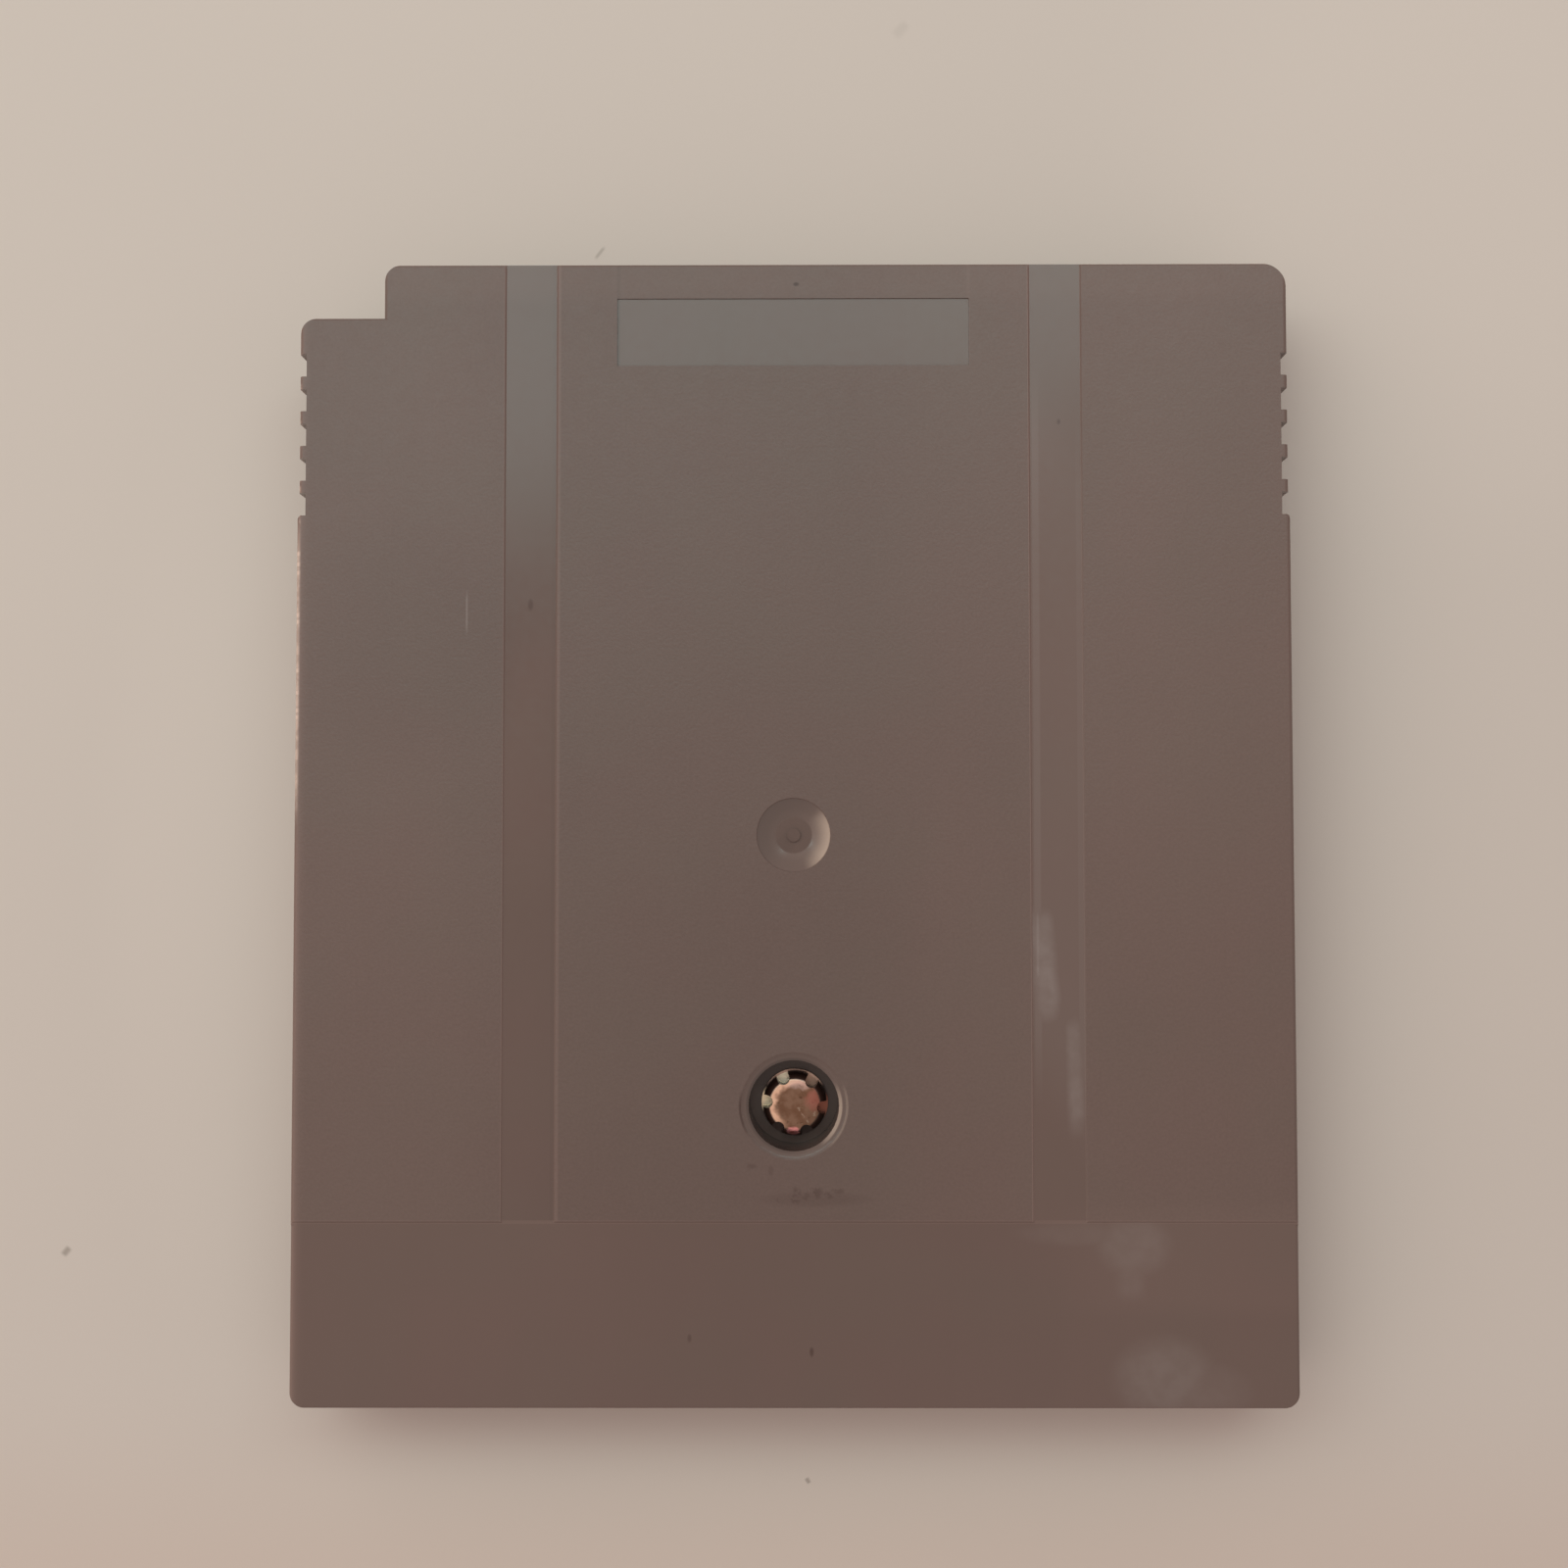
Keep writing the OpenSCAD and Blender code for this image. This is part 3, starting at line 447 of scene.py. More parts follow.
class BackPlaces:
    """Masks and distances that tell where on the housing a point lies."""

    def __init__(self, look):
        x, y, z = look.place()
        top = box_mm("back_shell")[1].z
        self.x, self.y, self.z, self.top = x, y, z, top
        # The back's upper layers, the panels' faces, and the smooth faces just below them
        self.back = look.rise(z, top - 0.6, top - 0.4)
        self.panel = look.rise(z, top - 0.04, top - 0.015)
        self.low_back = look.rise(z, top - 0.3, top - 0.15) * (1 - self.panel)
        self.above_band = look.rise(y, BAND_Y - 0.1, BAND_Y + 0.1) * self.back

        # The dimple: its raised middle, its dish, and how far a point is on either side
        gate_x, gate_y = x - GATE[0], y - GATE[1]
        self.gate = (gate_x * gate_x + gate_y * gate_y) ** 0.5
        self.disc = look.rise(self.gate, 1.12, 0.98) * look.rise(z, top - 0.3, top - 0.4)
        sunk = look.rise(self.gate, 2.3, 2.1) * look.rise(z, top, top - 0.05)
        self.dish = sunk * (1 - self.disc)
        away = self.gate.at_least(0.1)
        self.gate_shaded = (gate_x * -0.75 + gate_y * 0.66) / away
        self.gate_lit = (gate_x * 0.97 - gate_y * 0.2) / away

        hole_x, hole_y = x - HOLE[0], y - HOLE[1]
        self.hole = (hole_x * hole_x + hole_y * hole_y) ** 0.5
        self.hole_lit = (hole_x * 0.97 - hole_y * 0.24) / self.hole
        self.outside_hole = look.rise(self.hole, HOLE_R, HOLE_R + 0.06)


def painted_light_and_shade(look, at):
    """Steps of painted light and shade, each an amount and a mask."""
    x, y, z, top = at.x, at.y, at.z, at.top
    upper_wall = look.rise(z, top - 1, top - 0.4)
    wall_foot = look.band(abs(abs(x) - CHANNEL_X), 1.47, 1.58, 0.03) * at.above_band
    in_frame = look.rise(y, FRAME_Y - 0.2, FRAME_Y) * at.back
    shade = look.rise(at.hole_lit, 0.6, -0.1) * at.outside_hole
    return (
        # Broad painted light and shade over the back
        (-0.045, look.spot(x, y, (0, -17), (16, 22))),
        (0.075, look.spot(x, y, (23, 16), (14, 28))),
        (-0.08, look.spot(x, y, (-22, 11), (8, 9))),
        (0.08, look.rise(y, 30.0, 31.5)),
        (-0.08, look.band(x, -13.0, 2.0, 9.0) * at.above_band),
        (0.06, look.rise(x, 13.0, 19.0) * look.band(y, -26.5, BAND_Y, 1.5) * at.back),
        (0.06, look.spot(x, y, (-CHANNEL_X, 4.0), (3.0, 9.0)) * (1 - at.panel)),
        (-0.025, look.rise(y, -22.1, -22.4) * look.band(x, -8.0, 12.0, 6.0)),
        # Painted highlight on the rounded left edge
        (0.24, look.rise(x, -27.6, -28.5) ** 2.0 * upper_wall),
        (0.16, look.rise(x, -28.15, -28.45) * upper_wall),
        # Painted shade on the dimple: on its raised middle, and on the dish's shaded side
        (-0.1, at.disc),
        (-0.08, at.disc * look.spot(x, y, (-0.5, -0.8), (0.7, 0.7))),
        (-1.0, at.dish * look.rise(at.gate_shaded, -0.4, 0.6)
         * (0.12 + 0.07 * look.rise(at.gate, 1.8, 2.1))),
        # Painted shade in the hole: on its wall, its bevel and the shallow ring round it
        (-0.12, look.rise(at.hole, 2.8, 2.6) * look.rise(z, top - 0.3, top - 0.8)),
        (-0.16, shade * look.rise(at.hole, 2.72, 2.66)),
        (-0.08, shade * look.rise(at.hole, 3.1, 3.0)),
        # Painted light at the feet of the channels' walls, painted shade at the foot of the right
        # channel's outer wall, and the painted highlight and painted shade line by the left channel
        (0.2, wall_foot * look.rise(abs(x + 1.5), 14.3, 14.8)),
        (0.12, wall_foot * look.band(x, 13.3, 13.7, 0.1)),
        (-0.22, wall_foot * look.rise(x, 16.3, 16.4)),
        (0.22, look.band(x, -13.58, -13.43, 0.06) * at.above_band),
        (-0.04, look.band(x, -13.85, -13.7, 0.08) * at.above_band),
        # Painted highlight along the band's upper end, and painted shade and painted highlight on
        # the frame's sides
        (0.15, look.band(y, BAND_Y - 0.13, BAND_Y + 0.03, 0.04) * at.back),
        (-0.1, look.band(x, -FRAME_X, -FRAME_X + 0.13, 0.04) * in_frame),
        (0.08, look.band(x, FRAME_X - 0.1, FRAME_X + 0.05, 0.04) * in_frame),
    )


def dark_marks(look, at):
    """The smudge under the hole, the dark arc beside the hole, and single specks."""
    x, y = at.x, at.y
    ragged = look.rise(look.noise(0.3, detail=3.0, roughness=0.6), 0.38, 0.56)
    marks = [look.spot(x, y, (1.23, -20.95), (3.9, 0.55)) * 0.2]
    marks += [look.spot(x, y, middle, radii) ** 0.6 * ragged * strength
              for middle, radii, strength in SMUDGES]
    arc = look.band(at.hole, 3.03, 3.1, 0.06) * look.spot(x, y, (-3.0, -16.2), (0.9, 1.5))
    marks.append(arc * 0.7)
    marks += [look.spot(x, y, middle, radii) * strength for middle, radii, strength in SPECKS]
    return strongest(marks) * at.back


def sheen_and_film(look, at):
    """Pale film in the right channel and on the band, mostly painted reflection with some rubbing,
    and one scratch on the left panel.
    """
    x, y = at.x, at.y
    patchy = 0.65 + 0.35 * look.rise(look.noise(1.1, detail=3.0), 0.3, 0.7)
    even = strongest(look.band(x, low, high, soft) * strength
                     for low, high, soft, strength in FILM_AND_SHEEN_EVEN)
    even = even * look.band(y + x * 1.2, 7.0, 38.0, 7.0)
    haze_and_sheen = [look.streak(x, y, start, end, width) * strength
            for start, end, width, strength in FILM_AND_SHEEN_STREAKS]
    haze_and_sheen += [look.spot(x, y, middle, radii) * strength for middle, radii, strength in FILM_AND_SHEEN_SPOTS]
    film = (strongest(haze_and_sheen) * patchy).at_least(even) * at.low_back
    start, end, width, strength = SCRATCH
    return film.at_least(look.streak(x, y, start, end, width) * strength * at.panel)


def lit_edges(look, at):
    """Light caught by the dish of the dimple, by the hole's bevel and by the ring round it."""
    glare = at.dish * look.rise(at.gate_lit, 0.45, 0.95) * look.rise(at.gate, 1.1, 2.2)
    bevel = look.band(at.hole, 2.57, 2.72, 0.08) * look.rise(at.hole_lit, 0.72, 1.0)
    ring = look.band(at.hole, 3.0, 3.08, 0.05) * look.rise(at.hole_lit, 0.75, 0.95)
    return strongest((glare * 0.55, bevel * at.back * 0.4, ring * at.back * 0.16))


def edge_highlight_and_wear(look, at):
    """The left edge with a painted highlight and some pale rubbing below the grips, with the
    brightest painted glints at their own places.
    """
    edge = look.rise(at.x, -28.3, -28.5) * look.rise(at.z, at.top - 1.4, at.top - 0.5)
    # Patchy painted highlight with some pale rubbing along the edge
    chips = look.rise(look.noise(0.6, detail=2.0), 0.4, 0.65)
    below_grips = (0.5 + 0.3 * chips) * look.band(at.y, 3.0, 15.5, 3.0)
    at_grips = chips * look.band(at.y, 16.5, 26.0, 1.0) * 0.6
    bright = [look.rise(abs(at.y - level), 0.26, 0.06) for level in EDGE_GLINTS_Y]
    return edge * strongest([below_grips, at_grips] + bright)


def housing_plastic(sizes):
    """Moulded grey plastic: matt grain on the panels, smooth in the channels and on the band, with
    painted light and shade in its colour.
    """
    look = Finish("housing_plastic_moulded")
    at = BackPlaces(look)
    x, y, z, top = at.x, at.y, at.z, at.top
    outside = look.rise(abs(x), 27.9, 28.05).at_least(look.rise(abs(y), 32.2, 32.5))
    wall = outside * look.rise(z, top - 0.3, top - 0.5)
    front = look.rise(z, 0.3, 0.16)
    grained = strongest((at.panel, front, wall * 0.6))

    fine = look.noise(sizes.grain / MM, detail=1.5, roughness=0.6)
    coarse = look.noise(sizes.grain / MM * 3.2, detail=1.0)
    cloud = look.noise(9.0, detail=2.0)
    flow = look.noise(1.6, detail=2.0, stretch=(1.0, 0.12, 1.0))

    tone = 0.935 + 0.07 * cloud + 0.03 * flow + (fine - 0.5) * grained * 0.22
    # The tone takes the painted light and shade, step by step
    for amount, mask in painted_light_and_shade(look, at):
        tone = tone + amount * mask
    brown = look.rise(look.noise(7.0, detail=1.0), 0.3, 0.7)
    film = sheen_and_film(look, at)
    # Coats: random brown, dark marks, pale film that is mostly painted reflection, painted
    # highlights on the dimple's dish and round the hole, and the painted highlight on the rubbed
    # left edge
    plastic = look.coats(look.tint(sizes.plastic, tone), (
        (brown * 0.12, srgb(96, 88, 78)),
        (dark_marks(look, at) * sizes.wear_and_sheen, sizes.dirt),
        (film * sizes.wear_and_sheen, sizes.haze_and_sheen),
        (lit_edges(look, at), srgb(209, 183, 163)),
        (edge_highlight_and_wear(look, at) * sizes.wear_and_sheen * 0.9, srgb(226, 198, 182))))

    roughness = sizes.gloss + grained * (sizes.matt - sizes.gloss)
    roughness = roughness + (coarse - 0.5) * 0.1 + film * 0.12
    height = fine * 0.7 + coarse * 0.3
    normal = look.bump(height * grained, sizes.grain_depth / MM)
    normal = look.bump(flow, 0.004, normal)
    rim = look.rise(at.hole, 3.2, 3.0) * at.outside_hole * at.low_back
    return look.surface(plastic, roughness.at_least(0.12).at_most(1.0), normal=normal,
                        Coat_Weight=at.dish.at_least(rim * 0.4), Coat_Roughness=0.2)


def screw_metal(sizes):
    """Copper-brown steel: a mottled star-shaped top with painted highlights on its upper left rim,
    sides painted dark as shade, and notch floors painted light on the upper left.
    """
    look = Finish("screw_steel_brown")
    x, y, z = look.place()
    middle_x, middle_y = screw_axis()
    dx, dy = x - middle_x, y - middle_y
    radius = (dx * dx + dy * dy) ** 0.5
    top = box_mm("security_screw")[1].z
    blotch = look.noise(0.55, detail=3.0)
    ragged = look.noise(0.32, detail=3.0)
    wide, high = dx + (ragged - 0.5) * 0.7, dy + (blotch - 0.5) * 0.7
    ring = look.rise(radius + (blotch - 0.5) * 0.7, 0.95, 1.3)
    upper_left = look.rise(dy * 0.6 - dx, -0.5, 0.9)
    # Bright nick marks, the last of them a painted highlight along an edge
    nicks_and_glint = strongest(look.streak(wide, dy, start, end, 0.08) for start, end in NICKS_AND_GLINT)
    # Painted shade: the sides of the head and the steep outer band of its top
    shaded_flank = look.rise(z, top - 0.01, top - 0.12).at_least(look.rise(radius, 1.4, 1.52))
    low_glint = look.spot(wide, dy, (-0.1, -1.5), (0.42, 0.3))
    flange = look.rise(z, top - 1.2, top - 1.35)

    # Painted light on the flange where the notches show it, brighter on the upper left, laid over
    # the painted dark of the sides
    floors = [(look.spot(dx, dy, middle, (0.75, 0.75)) ** 0.5, srgb(*colour))
              for middle, colour in LIT_NOTCH_FLOORS]
    lit_floor = sum(mask for mask, _ in floors)
    # Painted highlight along the upper part of the flange's rim
    edge = look.band(radius, 1.83, 1.95, 0.03) * look.rise(dy - abs(dx) * 0.5, 0.0, 0.8)
    floor = look.coats(sizes.shaded_flank, floors + [(edge, srgb(206, 176, 162))])

    tone = look.coats(sizes.worn, (
        (look.rise(blotch, 0.35, 0.65), sizes.stain),
        (look.rise(ragged, 0.62, 0.7) * 0.6, srgb(90, 62, 48)),
        # Painted highlight on the star's upper left rim
        (ring * upper_left, sizes.copper),
        # Painted highlight on the top of the rim
        (look.spot(wide, high, (0.15, 1.2), (0.8, 0.4)) * 0.4, srgb(255, 222, 220)),
        (look.spot(wide, high, (1.1, 0.3), (0.65, 0.85)) * 0.5, sizes.red),
        (nicks_and_glint * 0.25, srgb(236, 214, 198)),
        (shaded_flank, sizes.shaded_flank),
        (low_glint, srgb(255, 168, 168)),
        (flange, floor)))
    # Random blotches, and painted shade towards the lower right
    tone = look.tint(tone, 0.88 + 0.28 * blotch - 0.16 * look.rise(dx - dy * 0.6, 0.6, 1.6))
    pits = look.rise(look.cells(0.34), 0.16, 0.05)
    normal = look.bump(blotch - pits * 0.5, 0.02)
    roughness = sizes.roughness + (blotch - 0.5) * 0.3 + pits * 0.2
    lit = (lit_floor * flange).at_least(low_glint).at_most(1.0)
    metallic = 1 - 0.75 * shaded_flank * (1 - lit)
    return look.surface(tone, roughness.at_least(0.15), metallic=metallic, normal=normal)


def solder_mask(sizes):
    """Green lacquer over woven glass, white part outlines, and the bare edge of the laminate."""
    look = Finish("board_laminate_green")
    x, y, z = look.place()
    low, high = box_mm("circuit_board")
    edge = look.band(z, low.z + 0.04, high.z - 0.04, 0.01)
    warp, weft = (
        look.node("ShaderNodeTexWave", {"wave_profile": "SIN", "bands_direction": direction},
                  {"Vector": look.where, "Scale": 0.6, "Distortion": 0.6}, output="Fac")
        for direction in "XY")
    weave = warp * weft
    tone = look.tint(sizes.mask, 0.88 + 0.1 * weave + 0.14 * look.noise(6.0))
    top = look.rise(z, high.z - 0.03, high.z - 0.01)
    outlines = []
    for name in CHIPS:
        part_low, part_high = box_mm(name)
        half = (part_high - part_low) / 2
        centre = (part_high + part_low) / 2
        across = abs(x - centre.x) - (half.x + 0.45)
        along = abs(y - centre.y) - (half.y - 0.15)
        outlines.append(look.band(across.at_least(along), -0.07, 0.07, 0.03))
    tone = look.blend(strongest(outlines) * top * 0.85, tone, srgb(214, 214, 200))
    fibre = look.noise(0.16, detail=2.0, stretch=(1.0, 1.0, 5.0))
    bare = look.tint(sizes.laminate, 0.8 + 0.4 * fibre)
    tone = look.blend(edge, tone, bare)
    roughness = 0.28 + edge * 0.4 + look.noise(2.0) * 0.1
    return look.surface(tone, roughness, normal=look.bump(weave + fibre * edge, 0.006))


def contact_gold(sizes):
    """Thin gold plate with fine wipe marks along the way in."""
    look = Finish("contact_gold_plate")
    look.place()
    wipe = look.noise(0.12, detail=3.0, stretch=(1.0, 0.04, 1.0))
    dull = look.noise(1.8, detail=2.0)
    tone = look.blend(look.rise(wipe, 0.45, 0.8) * 0.35, sizes.gold, srgb(196, 160, 120))
    tone = look.tint(tone, 0.9 + 0.2 * dull)
    return look.surface(tone, 0.22 + wipe * 0.22, metallic=1.0, normal=look.bump(wipe, 0.003))


def copper_under_mask(sizes):
    """A track seen through the lacquer: the same green, lighter over the copper."""
    look = Finish("board_track_green")
    look.place()
    lighter = look.blend(0.3, sizes.mask, srgb(120, 150, 70))
    tone = look.tint(lighter, 0.9 + 0.2 * look.noise(1.5))
    return look.surface(tone, 0.26 + look.noise(2.0) * 0.1,
                        normal=look.bump(look.noise(0.4), 0.004))


def tinned_metal(sizes):
    """Tin and solder: soft, cloudy and a little uneven."""
    look = Finish("tinned_metal_soft")
    look.place()
    cloud = look.noise(0.5, detail=3.0)
    brushed = look.noise(0.09, detail=2.0, stretch=(0.2, 1.0, 1.0))
    tone = look.tint(look.blend(cloud * 0.4, sizes.tin, DULL_TIN), 0.9 + 0.15 * brushed)
    return look.surface(tone, 0.24 + cloud * 0.26, metallic=1.0,
                        normal=look.bump(cloud * 0.7 + brushed * 0.3, 0.01))


def chip_epoxy(sizes):
    """Black moulded epoxy with fine filler specks and a sanded top."""
    look = Finish("chip_epoxy_black")
    look.place()
    speck = look.noise(0.08, detail=2.0)
    cloud = look.noise(3.0)
    tone = look.blend(look.rise(speck, 0.58, 0.75) * 0.5, sizes.epoxy, srgb(66, 66, 66))
    tone = look.tint(tone, 0.85 + 0.3 * cloud)
    return look.surface(tone, 0.52 + (speck - 0.5) * 0.25, normal=look.bump(speck, 0.01))


def capped_block(sizes, name, body, roughness):
    """A small block between two tinned end caps."""
    look = Finish(name)
    share_x, _, _ = look.place("Generated")
    cap = look.rise(abs(share_x - 0.5), 0.316, 0.322)
    look.place()
    grain = look.noise(0.1, detail=2.0)
    cloud = look.noise(0.6, detail=2.0)
    core = look.tint(body, 0.85 + 0.3 * grain)
    tin = look.tint(look.blend(cloud * 0.4, sizes.tin, DULL_TIN), 0.92 + 0.12 * grain)
    roughness = roughness + cap * (0.3 - roughness) + cloud * 0.1
    return look.surface(look.blend(cap, core, tin), roughness, metallic=cap,
                        normal=look.bump(grain, 0.008))


def battery_steel(sizes):
    """Nickel-plated can with rings from the press and small handling marks."""
    look = Finish("battery_steel_can")
    x, y, z = look.place()
    low, high = box_mm("battery_cell")
    dx, dy = x - (low.x + high.x) / 2, y - (low.y + high.y) / 2
    radius = (dx * dx + dy * dy) ** 0.5
    rings = look.node("ShaderNodeMath", {"operation": "SINE"}, {0: radius * 40.0})
    cloud = look.noise(2.2, detail=3.0)
    marks = look.rise(look.noise(0.25, detail=3.0, stretch=(0.2, 1.0, 1.0)), 0.6, 0.8)
    gasket = look.band(radius, 6.55, 6.85, 0.05) * look.rise(z, 4.0, 4.4)
    tone = look.tint(look.blend(cloud * 0.5, srgb(206, 206, 206), srgb(178, 175, 168)),
                     0.94 + 0.06 * marks)
    tone = look.blend(gasket, tone, srgb(40, 42, 46))
    return look.surface(tone, 0.2 + cloud * 0.14 + marks * 0.1 + gasket * 0.3,
                        metallic=1 - gasket, normal=look.bump(rings * 0.1 + marks * 0.3, 0.006))


# Pieces built here


def thread_turns(shape, sizes, low, high, axis, radius):
    """A helical ridge round the screw's shank, tapering out at both ends."""
    pitch, crest = sizes.pitch / MM, sizes.crest / MM
    facets = 28                        # in one turn
    fade_in, fade_out = 0.75, 0.5      # turns over which the ridge rises and dies away
    root, flat = 0.3, 0.06             # half widths at the root and the crest, in pitches
    root_r, low_r = radius - 0.05, radius - 0.03
    count = int((high - low) / pitch * facets)
    rows = []
    for i in range(count + 1):
        turn = math.tau * i / facets
        level = low + pitch * i / facets
        fade = min(1, i / (facets * fade_in), (count - i) / (facets * fade_out))
        crest_r = low_r + (crest + radius - low_r) * max(fade, 0.02)
        rows.append([shape.verts.new((axis[0] + out * math.cos(turn),
                                      axis[1] + out * math.sin(turn),
                                      level + lift * pitch))
                     for out, lift in ((root_r, -root), (crest_r, -flat),
                                       (crest_r, flat), (root_r, root))])
    for first, second in zip(rows, rows[1:]):
        for a in range(4):
            b = (a + 1) % 4
            shape.faces.new((first[a], first[b], second[b], second[a]))
    shape.faces.new(rows[0])
    shape.faces.new(rows[-1][::-1])


def raised_strip(shape, points, width, base, top):
    """A flat strip of copper along the points, mitred at its bends and rounded at its ends."""
    left, right = [], []
    path = [Vector(p) for p in points]
    for i, point in enumerate(path):
        before = (point - path[i - 1]).normalized() if i else None
        after = (path[i + 1] - point).normalized() if i + 1 < len(path) else None
        one, other = before or after, after or before
        across = Vector((-(one.y + other.y), one.x + other.x)).normalized()
        reach = width / 2 / max(0.4, across.dot(Vector((-one.y, one.x))))
        left.append(point + across * reach)
        right.append(point - across * reach)

    def cap(centre, direction):
        start = math.atan2(direction.y, direction.x)
        return [centre + Vector((math.cos(start + t), math.sin(start + t))) * width / 2
                for t in (math.pi / 4, 0, -math.pi / 4)]

    outline = left + cap(path[-1], path[-1] - path[-2])
    outline += right[::-1] + cap(path[0], path[0] - path[1])
    prism(shape, outline, base, top)


def prism(shape, outline, base, top, inset=0.0):
    """A closed block over an outline; inset narrows its top toward the middle."""
    middle = sum((Vector(p) for p in outline), Vector((0, 0))) / len(outline)
    lower = [shape.verts.new((p[0], p[1], base)) for p in outline]
    upper = []
    for p in outline:
        moved = Vector(p) + (middle - Vector(p)) * inset
        upper.append(shape.verts.new((moved.x, moved.y, top)))
    shape.faces.new(lower[::-1])
    shape.faces.new(upper)
    for i in range(len(outline)):
        j = (i + 1) % len(outline)
        shape.faces.new((lower[i], lower[j], upper[j], upper[i]))


def ring_land(shape, x, y, outer, inner, base, top):
    """An annular copper land round a plated hole."""
    steps = 14
    loops = []
    for radius, level in ((outer, base), (outer, top), (inner, top), (inner, base)):
        loops.append([shape.verts.new((x + radius * math.cos(math.tau * i / steps),
                                       y + radius * math.sin(math.tau * i / steps), level))
                      for i in range(steps)])
    for a in range(4):
        first, second = loops[a], loops[(a + 1) % 4]
        for i in range(steps):
            j = (i + 1) % steps
            shape.faces.new((first[i], first[j], second[j], second[i]))


def contact_places():
    """The x of each contact finger's middle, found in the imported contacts, and their upper end."""
    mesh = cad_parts["edge_contacts"].data
    xs = sorted({round(v.co.x / MM, 3) for v in mesh.vertices})
    middles = [(a + b) / 2 for a, b in zip(xs[0::2], xs[1::2])]
    return middles, box_mm("edge_contacts")[1].y


def board_routes():
    """Where the tracks run and where their plated holes are, in millimetres."""
    middles, pad_end = contact_places()
    runs, holes = [], []
    for i, x in enumerate(middles):
        end = pad_end + (0.7, 1.25, 1.8)[i % 3]
        runs.append([(x, pad_end - 0.2), (x, end)])
        holes.append((x, end))
    rom_low, rom_high = box_mm("rom_chip")
    mapper_low, mapper_high = box_mm("mapper_chip")
    bus_start = box_mm("save_ram_chip")[0].y - 1.6
    for k in range(5):
        x = rom_high.x + 1.0 + 0.62 * k
        turn = rom_low.y + 1.6 + 1.25 * (4 - k)
        end = rom_high.x - 3.0 - 2.2 * k
        runs.append([(x, bus_start), (x, turn - 0.8), (x - 0.8, turn), (end, turn)])
        holes += [(x, bus_start), (end, turn)]
    for k in range(4):
        x = rom_high.x + 4.6 + 0.62 * k
        turn = mapper_low.y + 1.0 + 0.95 * k
        end = mapper_low.x + 4.0 + 2.0 * k
        runs.append([(x, bus_start), (x, turn - 0.7), (x + 0.7, turn), (end, turn)])
        holes += [(x, bus_start), (end, turn)]
    return runs, holes


def lead_feet(chip):
    """Where each lead's foot stands: middle x, middle y, half width and half length."""
    leads = chip + "_leads"
    low, high = box_mm(chip)
    base = box_mm(leads)[0].z
    seen = {}
    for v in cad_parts[leads].data.vertices:
        p = v.co / MM
        if p.z > base + 0.02:
            continue
        side = 1 if p.y > (low.y + high.y) / 2 else -1
        seen.setdefault((side, round(p.x, 2)), []).append(p.y)
    feet = []
    for side in (-1, 1):
        xs = sorted(x for s, x in seen if s == side)
        ys = [y for (s, _), values in seen.items() if s == side for y in values]
        near, far = min(ys), max(ys)
        feet += [((a + b) / 2, (near + far) / 2, (b - a) / 2, (far - near) / 2)
                 for a, b in zip(xs[0::2], xs[1::2])]
    return feet


# Operators


class CARTRIDGE_OT_finish_housing(bpy.types.Operator):
    """Gives both halves of the shell their moulded plastic"""
    bl_idname = "cartridge.finish_housing"
    bl_label = "Finish Housing"

    def execute(self, context):
        dress(("back_shell", "front_shell"), housing_plastic(context.scene.cartridge_housing))
        return {"FINISHED"}


class CARTRIDGE_OT_finish_screw(bpy.types.Operator):
    """Gives the security screw its metal and its thread"""
    bl_idname = "cartridge.finish_screw"
    bl_label = "Finish Screw"

    def execute(self, context):
        sizes = context.scene.cartridge_screw
        metal = screw_metal(sizes)
        dress(("security_screw",), metal)
        low = box_mm("security_screw")[0]
        mesh_piece(
            "screw_thread",
            lambda shape: thread_turns(shape, sizes, low.z + THREAD_FROM, low.z + THREAD_TO,
                                       screw_axis(), SHANK_R),
            metal)
        return {"FINISHED"}


class CARTRIDGE_OT_finish_board(bpy.types.Operator):
    """Gives the circuit board its lacquer, contacts, tracks and solder lands"""
    bl_idname = "cartridge.finish_board"
    bl_label = "Finish Board"

    def execute(self, context):
        sizes = context.scene.cartridge_board
        dress(("circuit_board",), solder_mask(sizes))
        dress(("edge_contacts",), contact_gold(sizes))
        top = box_mm("circuit_board")[1].z
        copper = top + sizes.copper_height / MM
        runs, holes = board_routes()

        def tracks(shape):
            for run in runs:
                raised_strip(shape, run, sizes.track_width / MM, top - 0.01, copper)

        def lands(shape):
            for x, y in holes:
                ring_land(shape, x, y, 0.36, 0.17, top - 0.01, copper + 0.012)
            for chip in CHIPS:
                for x, y, half_x, half_y in lead_feet(chip):
                    wide, long = half_x + 0.12, half_y + 0.2
                    outline = [(x - wide, y - long), (x + wide, y - long),
                               (x + wide, y + long), (x - wide, y + long)]
                    prism(shape, outline, top - 0.01, copper + 0.03, inset=0.12)

        mesh_piece("board_tracks", tracks, copper_under_mask(sizes))
        mesh_piece("solder_lands", lands, tinned_metal(sizes))
        return {"FINISHED"}


class CARTRIDGE_OT_finish_chips(bpy.types.Operator):
    """Gives the chips their epoxy and their tinned leads"""
    bl_idname = "cartridge.finish_chips"
    bl_label = "Finish Chips"

    def execute(self, context):
        sizes = context.scene.cartridge_board
        dress(CHIPS, chip_epoxy(sizes))
        dress([chip + "_leads" for chip in CHIPS], tinned_metal(sizes))
        return {"FINISHED"}


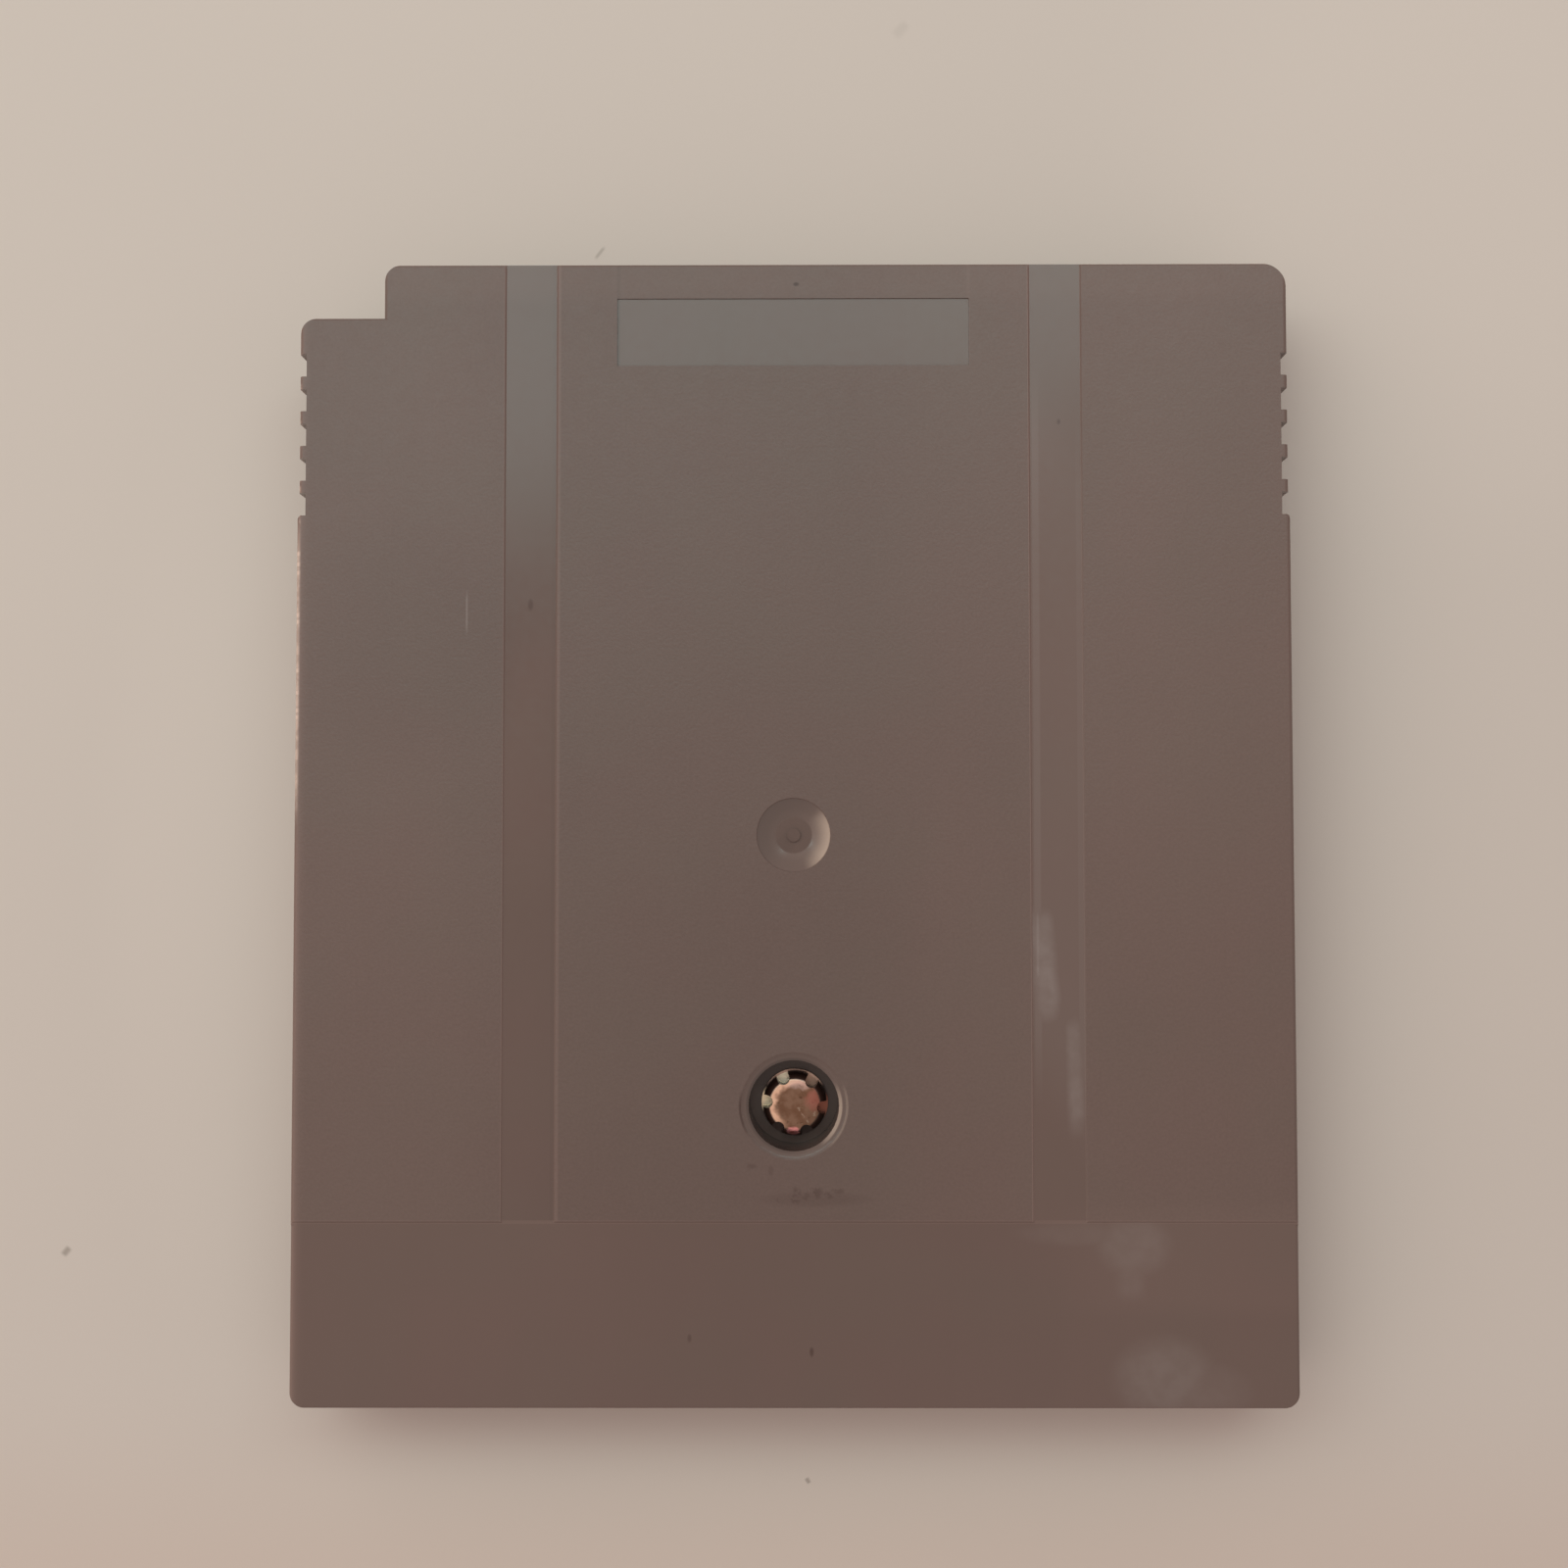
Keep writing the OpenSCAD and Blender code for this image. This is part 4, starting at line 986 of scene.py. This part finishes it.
class CARTRIDGE_OT_finish_small_parts(bpy.types.Operator):
    """Gives capacitors, resistors and the diode their blocks and end caps"""
    bl_idname = "cartridge.finish_small_parts"
    bl_label = "Finish Small Parts"

    def execute(self, context):
        sizes = context.scene.cartridge_board
        dress(("rom_capacitor", "ram_capacitor", "mapper_capacitor", "supply_capacitor"),
              capped_block(sizes, "capacitor_ceramic", sizes.ceramic, 0.55))
        dress(("pull_up_resistor", "charge_resistor", "reset_resistor"),
              capped_block(sizes, "resistor_film_black", sizes.film, 0.4))
        dress(("blocking_diode",), capped_block(sizes, "diode_epoxy", sizes.epoxy, 0.5))
        return {"FINISHED"}


class CARTRIDGE_OT_finish_battery(bpy.types.Operator):
    """Gives the backup cell and its tabs their metals"""
    bl_idname = "cartridge.finish_battery"
    bl_label = "Finish Battery"

    def execute(self, context):
        sizes = context.scene.cartridge_board
        dress(("battery_cell",), battery_steel(sizes))
        dress(("battery_plus_tab", "battery_minus_tab"), tinned_metal(sizes))
        return {"FINISHED"}


class CARTRIDGE_OT_set_stage(bpy.types.Operator):
    """Lays the table, hangs the lights and points the camera"""
    bl_idname = "cartridge.set_stage"
    bl_label = "Set Stage"

    def execute(self, context):
        sizes = context.scene.cartridge_stage
        self.table(context, sizes)
        self.lights(context, sizes)
        self.room(context, sizes)
        data = bpy.data.cameras.new("photo_camera")
        data.lens = sizes.lens
        data.sensor_width = 36
        data.clip_start = 0.005
        data.clip_end = 20
        camera = bpy.data.objects.new("photo_camera", data)
        camera.location = sizes.camera_place
        camera.rotation_mode = "ZYX"
        camera.rotation_euler = sizes.camera_turn
        context.scene.collection.objects.link(camera)
        context.scene.camera = camera
        context.scene.view_settings.view_transform = "Standard"
        return {"FINISHED"}

    def table(self, context, sizes):
        shape = bmesh.new()
        bmesh.ops.create_grid(shape, x_segments=8, y_segments=8, size=1.5)
        mesh = bpy.data.meshes.new("table")
        shape.to_mesh(mesh)
        shape.free()
        look = Finish("table_pale_laminate")
        x, y, _ = look.place()
        cloud = look.noise(28.0, detail=2.0)
        fine = look.noise(0.5, detail=3.0)
        # Painted light: the table lighter left of the part and towards the upper right
        painted_light_left = 0.04 * look.spot(x, y, (-34, -2), (10, 34))
        painted_light_upper_right = 0.05 * look.spot(x, y, (42, 40), (26, 26))
        tone = 0.985 + 0.02 * cloud + 0.012 * fine + painted_light_left + painted_light_upper_right
        specks = strongest(look.streak(x, y, start, end, width) * strength
                           for start, end, width, strength in TABLE_SPECKS)
        colour = look.coats(look.tint(sizes.floor, tone), (
            # Painted warm light tinting the table towards the bottom
            (look.rise(y, -32.0, -50.0) * 0.6, srgb(206, 182, 167)),
            (specks, srgb(110, 96, 84))))
        mesh.materials.append(look.surface(colour, 0.6 + 0.1 * fine,
                                           normal=look.bump(fine, 0.004)))
        table = bpy.data.objects.new("table", mesh)
        context.scene.collection.objects.link(table)

    def lights(self, context, sizes):
        # A light has a place, an aim, a turn in degrees about its axis, a width and a depth
        for name, place, aim, turn, width, depth, colour, power in (
                ("window_light", (-0.035, 0.142, 0.3), (-0.035, 0.142, 0), 11.5, 0.46, 0.13,
                 sizes.window, sizes.window_power),
                ("sky_light", (-0.3, 0.25, 0.6), (-0.1, 0.08, 0), 0, 0.9, 0.9,
                 sizes.sky, sizes.sky_power),
                ("side_lamp", (-0.6, 0.02, 0.34), (0, 0, 0), 0, 1.0, 0.45,
                 sizes.lamp, sizes.lamp_power)):
            data = bpy.data.lights.new(name, "AREA")
            data.shape = "RECTANGLE"
            data.size, data.size_y = width, depth
            data.energy = power
            data.color = colour
            lamp = bpy.data.objects.new(name, data)
            lamp.location = place
            lamp.rotation_mode = "QUATERNION"
            facing = (Vector(place) - Vector(aim)).to_track_quat("Z", "Y")
            lamp.rotation_quaternion = facing @ Quaternion((0, 0, 1), math.radians(turn))
            lamp.visible_camera = False
            lamp.visible_glossy = name != "sky_light"
            context.scene.collection.objects.link(lamp)

    def room(self, context, sizes):
        world = bpy.data.worlds.new("room")
        world.use_nodes = True
        tree = world.node_tree
        tree.nodes.clear()

        def background(colour, strength):
            made = tree.nodes.new("ShaderNodeBackground")
            made.inputs["Color"].default_value = (*colour, 1)
            made.inputs["Strength"].default_value = strength
            return made.outputs[0]

        path = tree.nodes.new("ShaderNodeLightPath").outputs
        seen = tree.nodes.new("ShaderNodeMath")
        seen.operation = "MAXIMUM"
        mix = tree.nodes.new("ShaderNodeMixShader")
        out = tree.nodes.new("ShaderNodeOutputWorld")
        for source, target in (
                (path["Is Camera Ray"], seen.inputs[0]),
                (path["Is Glossy Ray"], seen.inputs[1]),
                (seen.outputs[0], mix.inputs[0]),
                (background(sizes.room, sizes.room_strength), mix.inputs[1]),
                (background(sizes.floor, 1), mix.inputs[2]),
                (mix.outputs[0], out.inputs["Surface"])):
            tree.links.new(source, target)
        context.scene.world = world


class CARTRIDGE_PT_looks(bpy.types.Panel):
    """Lists the cartridge's sizes, colours and steps"""
    bl_idname = "CARTRIDGE_PT_looks"
    bl_label = "Game Cartridge"
    bl_space_type = "VIEW_3D"
    bl_region_type = "UI"
    bl_category = "Cartridge"

    def draw(self, context):
        layout = self.layout
        for step in STEPS:
            layout.operator(step.bl_idname)
        for name, group in GROUPS.items():
            box = layout.box()
            box.label(text=name.replace("cartridge_", "").capitalize())
            for prop in group.__annotations__:
                box.prop(getattr(context.scene, name), prop)


GROUPS = {
    "cartridge_housing": CartridgeHousing,
    "cartridge_screw": CartridgeScrew,
    "cartridge_board": CartridgeBoard,
    "cartridge_stage": CartridgeStage,
}
STEPS = (
    CARTRIDGE_OT_finish_housing,
    CARTRIDGE_OT_finish_screw,
    CARTRIDGE_OT_finish_board,
    CARTRIDGE_OT_finish_chips,
    CARTRIDGE_OT_finish_small_parts,
    CARTRIDGE_OT_finish_battery,
    CARTRIDGE_OT_set_stage,
)


def register():
    for group in GROUPS.values():
        bpy.utils.register_class(group)
    for step in STEPS:
        bpy.utils.register_class(step)
    bpy.utils.register_class(CARTRIDGE_PT_looks)
    for name, group in GROUPS.items():
        setattr(bpy.types.Scene, name, bpy.props.PointerProperty(type=group))


def unregister():
    for name in GROUPS:
        delattr(bpy.types.Scene, name)
    bpy.utils.unregister_class(CARTRIDGE_PT_looks)
    for step in reversed(STEPS):
        bpy.utils.unregister_class(step)
    for group in reversed(list(GROUPS.values())):
        bpy.utils.unregister_class(group)


def main():
    """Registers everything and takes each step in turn."""
    register()
    for step in STEPS:
        area, name = step.bl_idname.split(".")
        getattr(getattr(bpy.ops, area), name)()


if __name__ == "__main__":
    main()
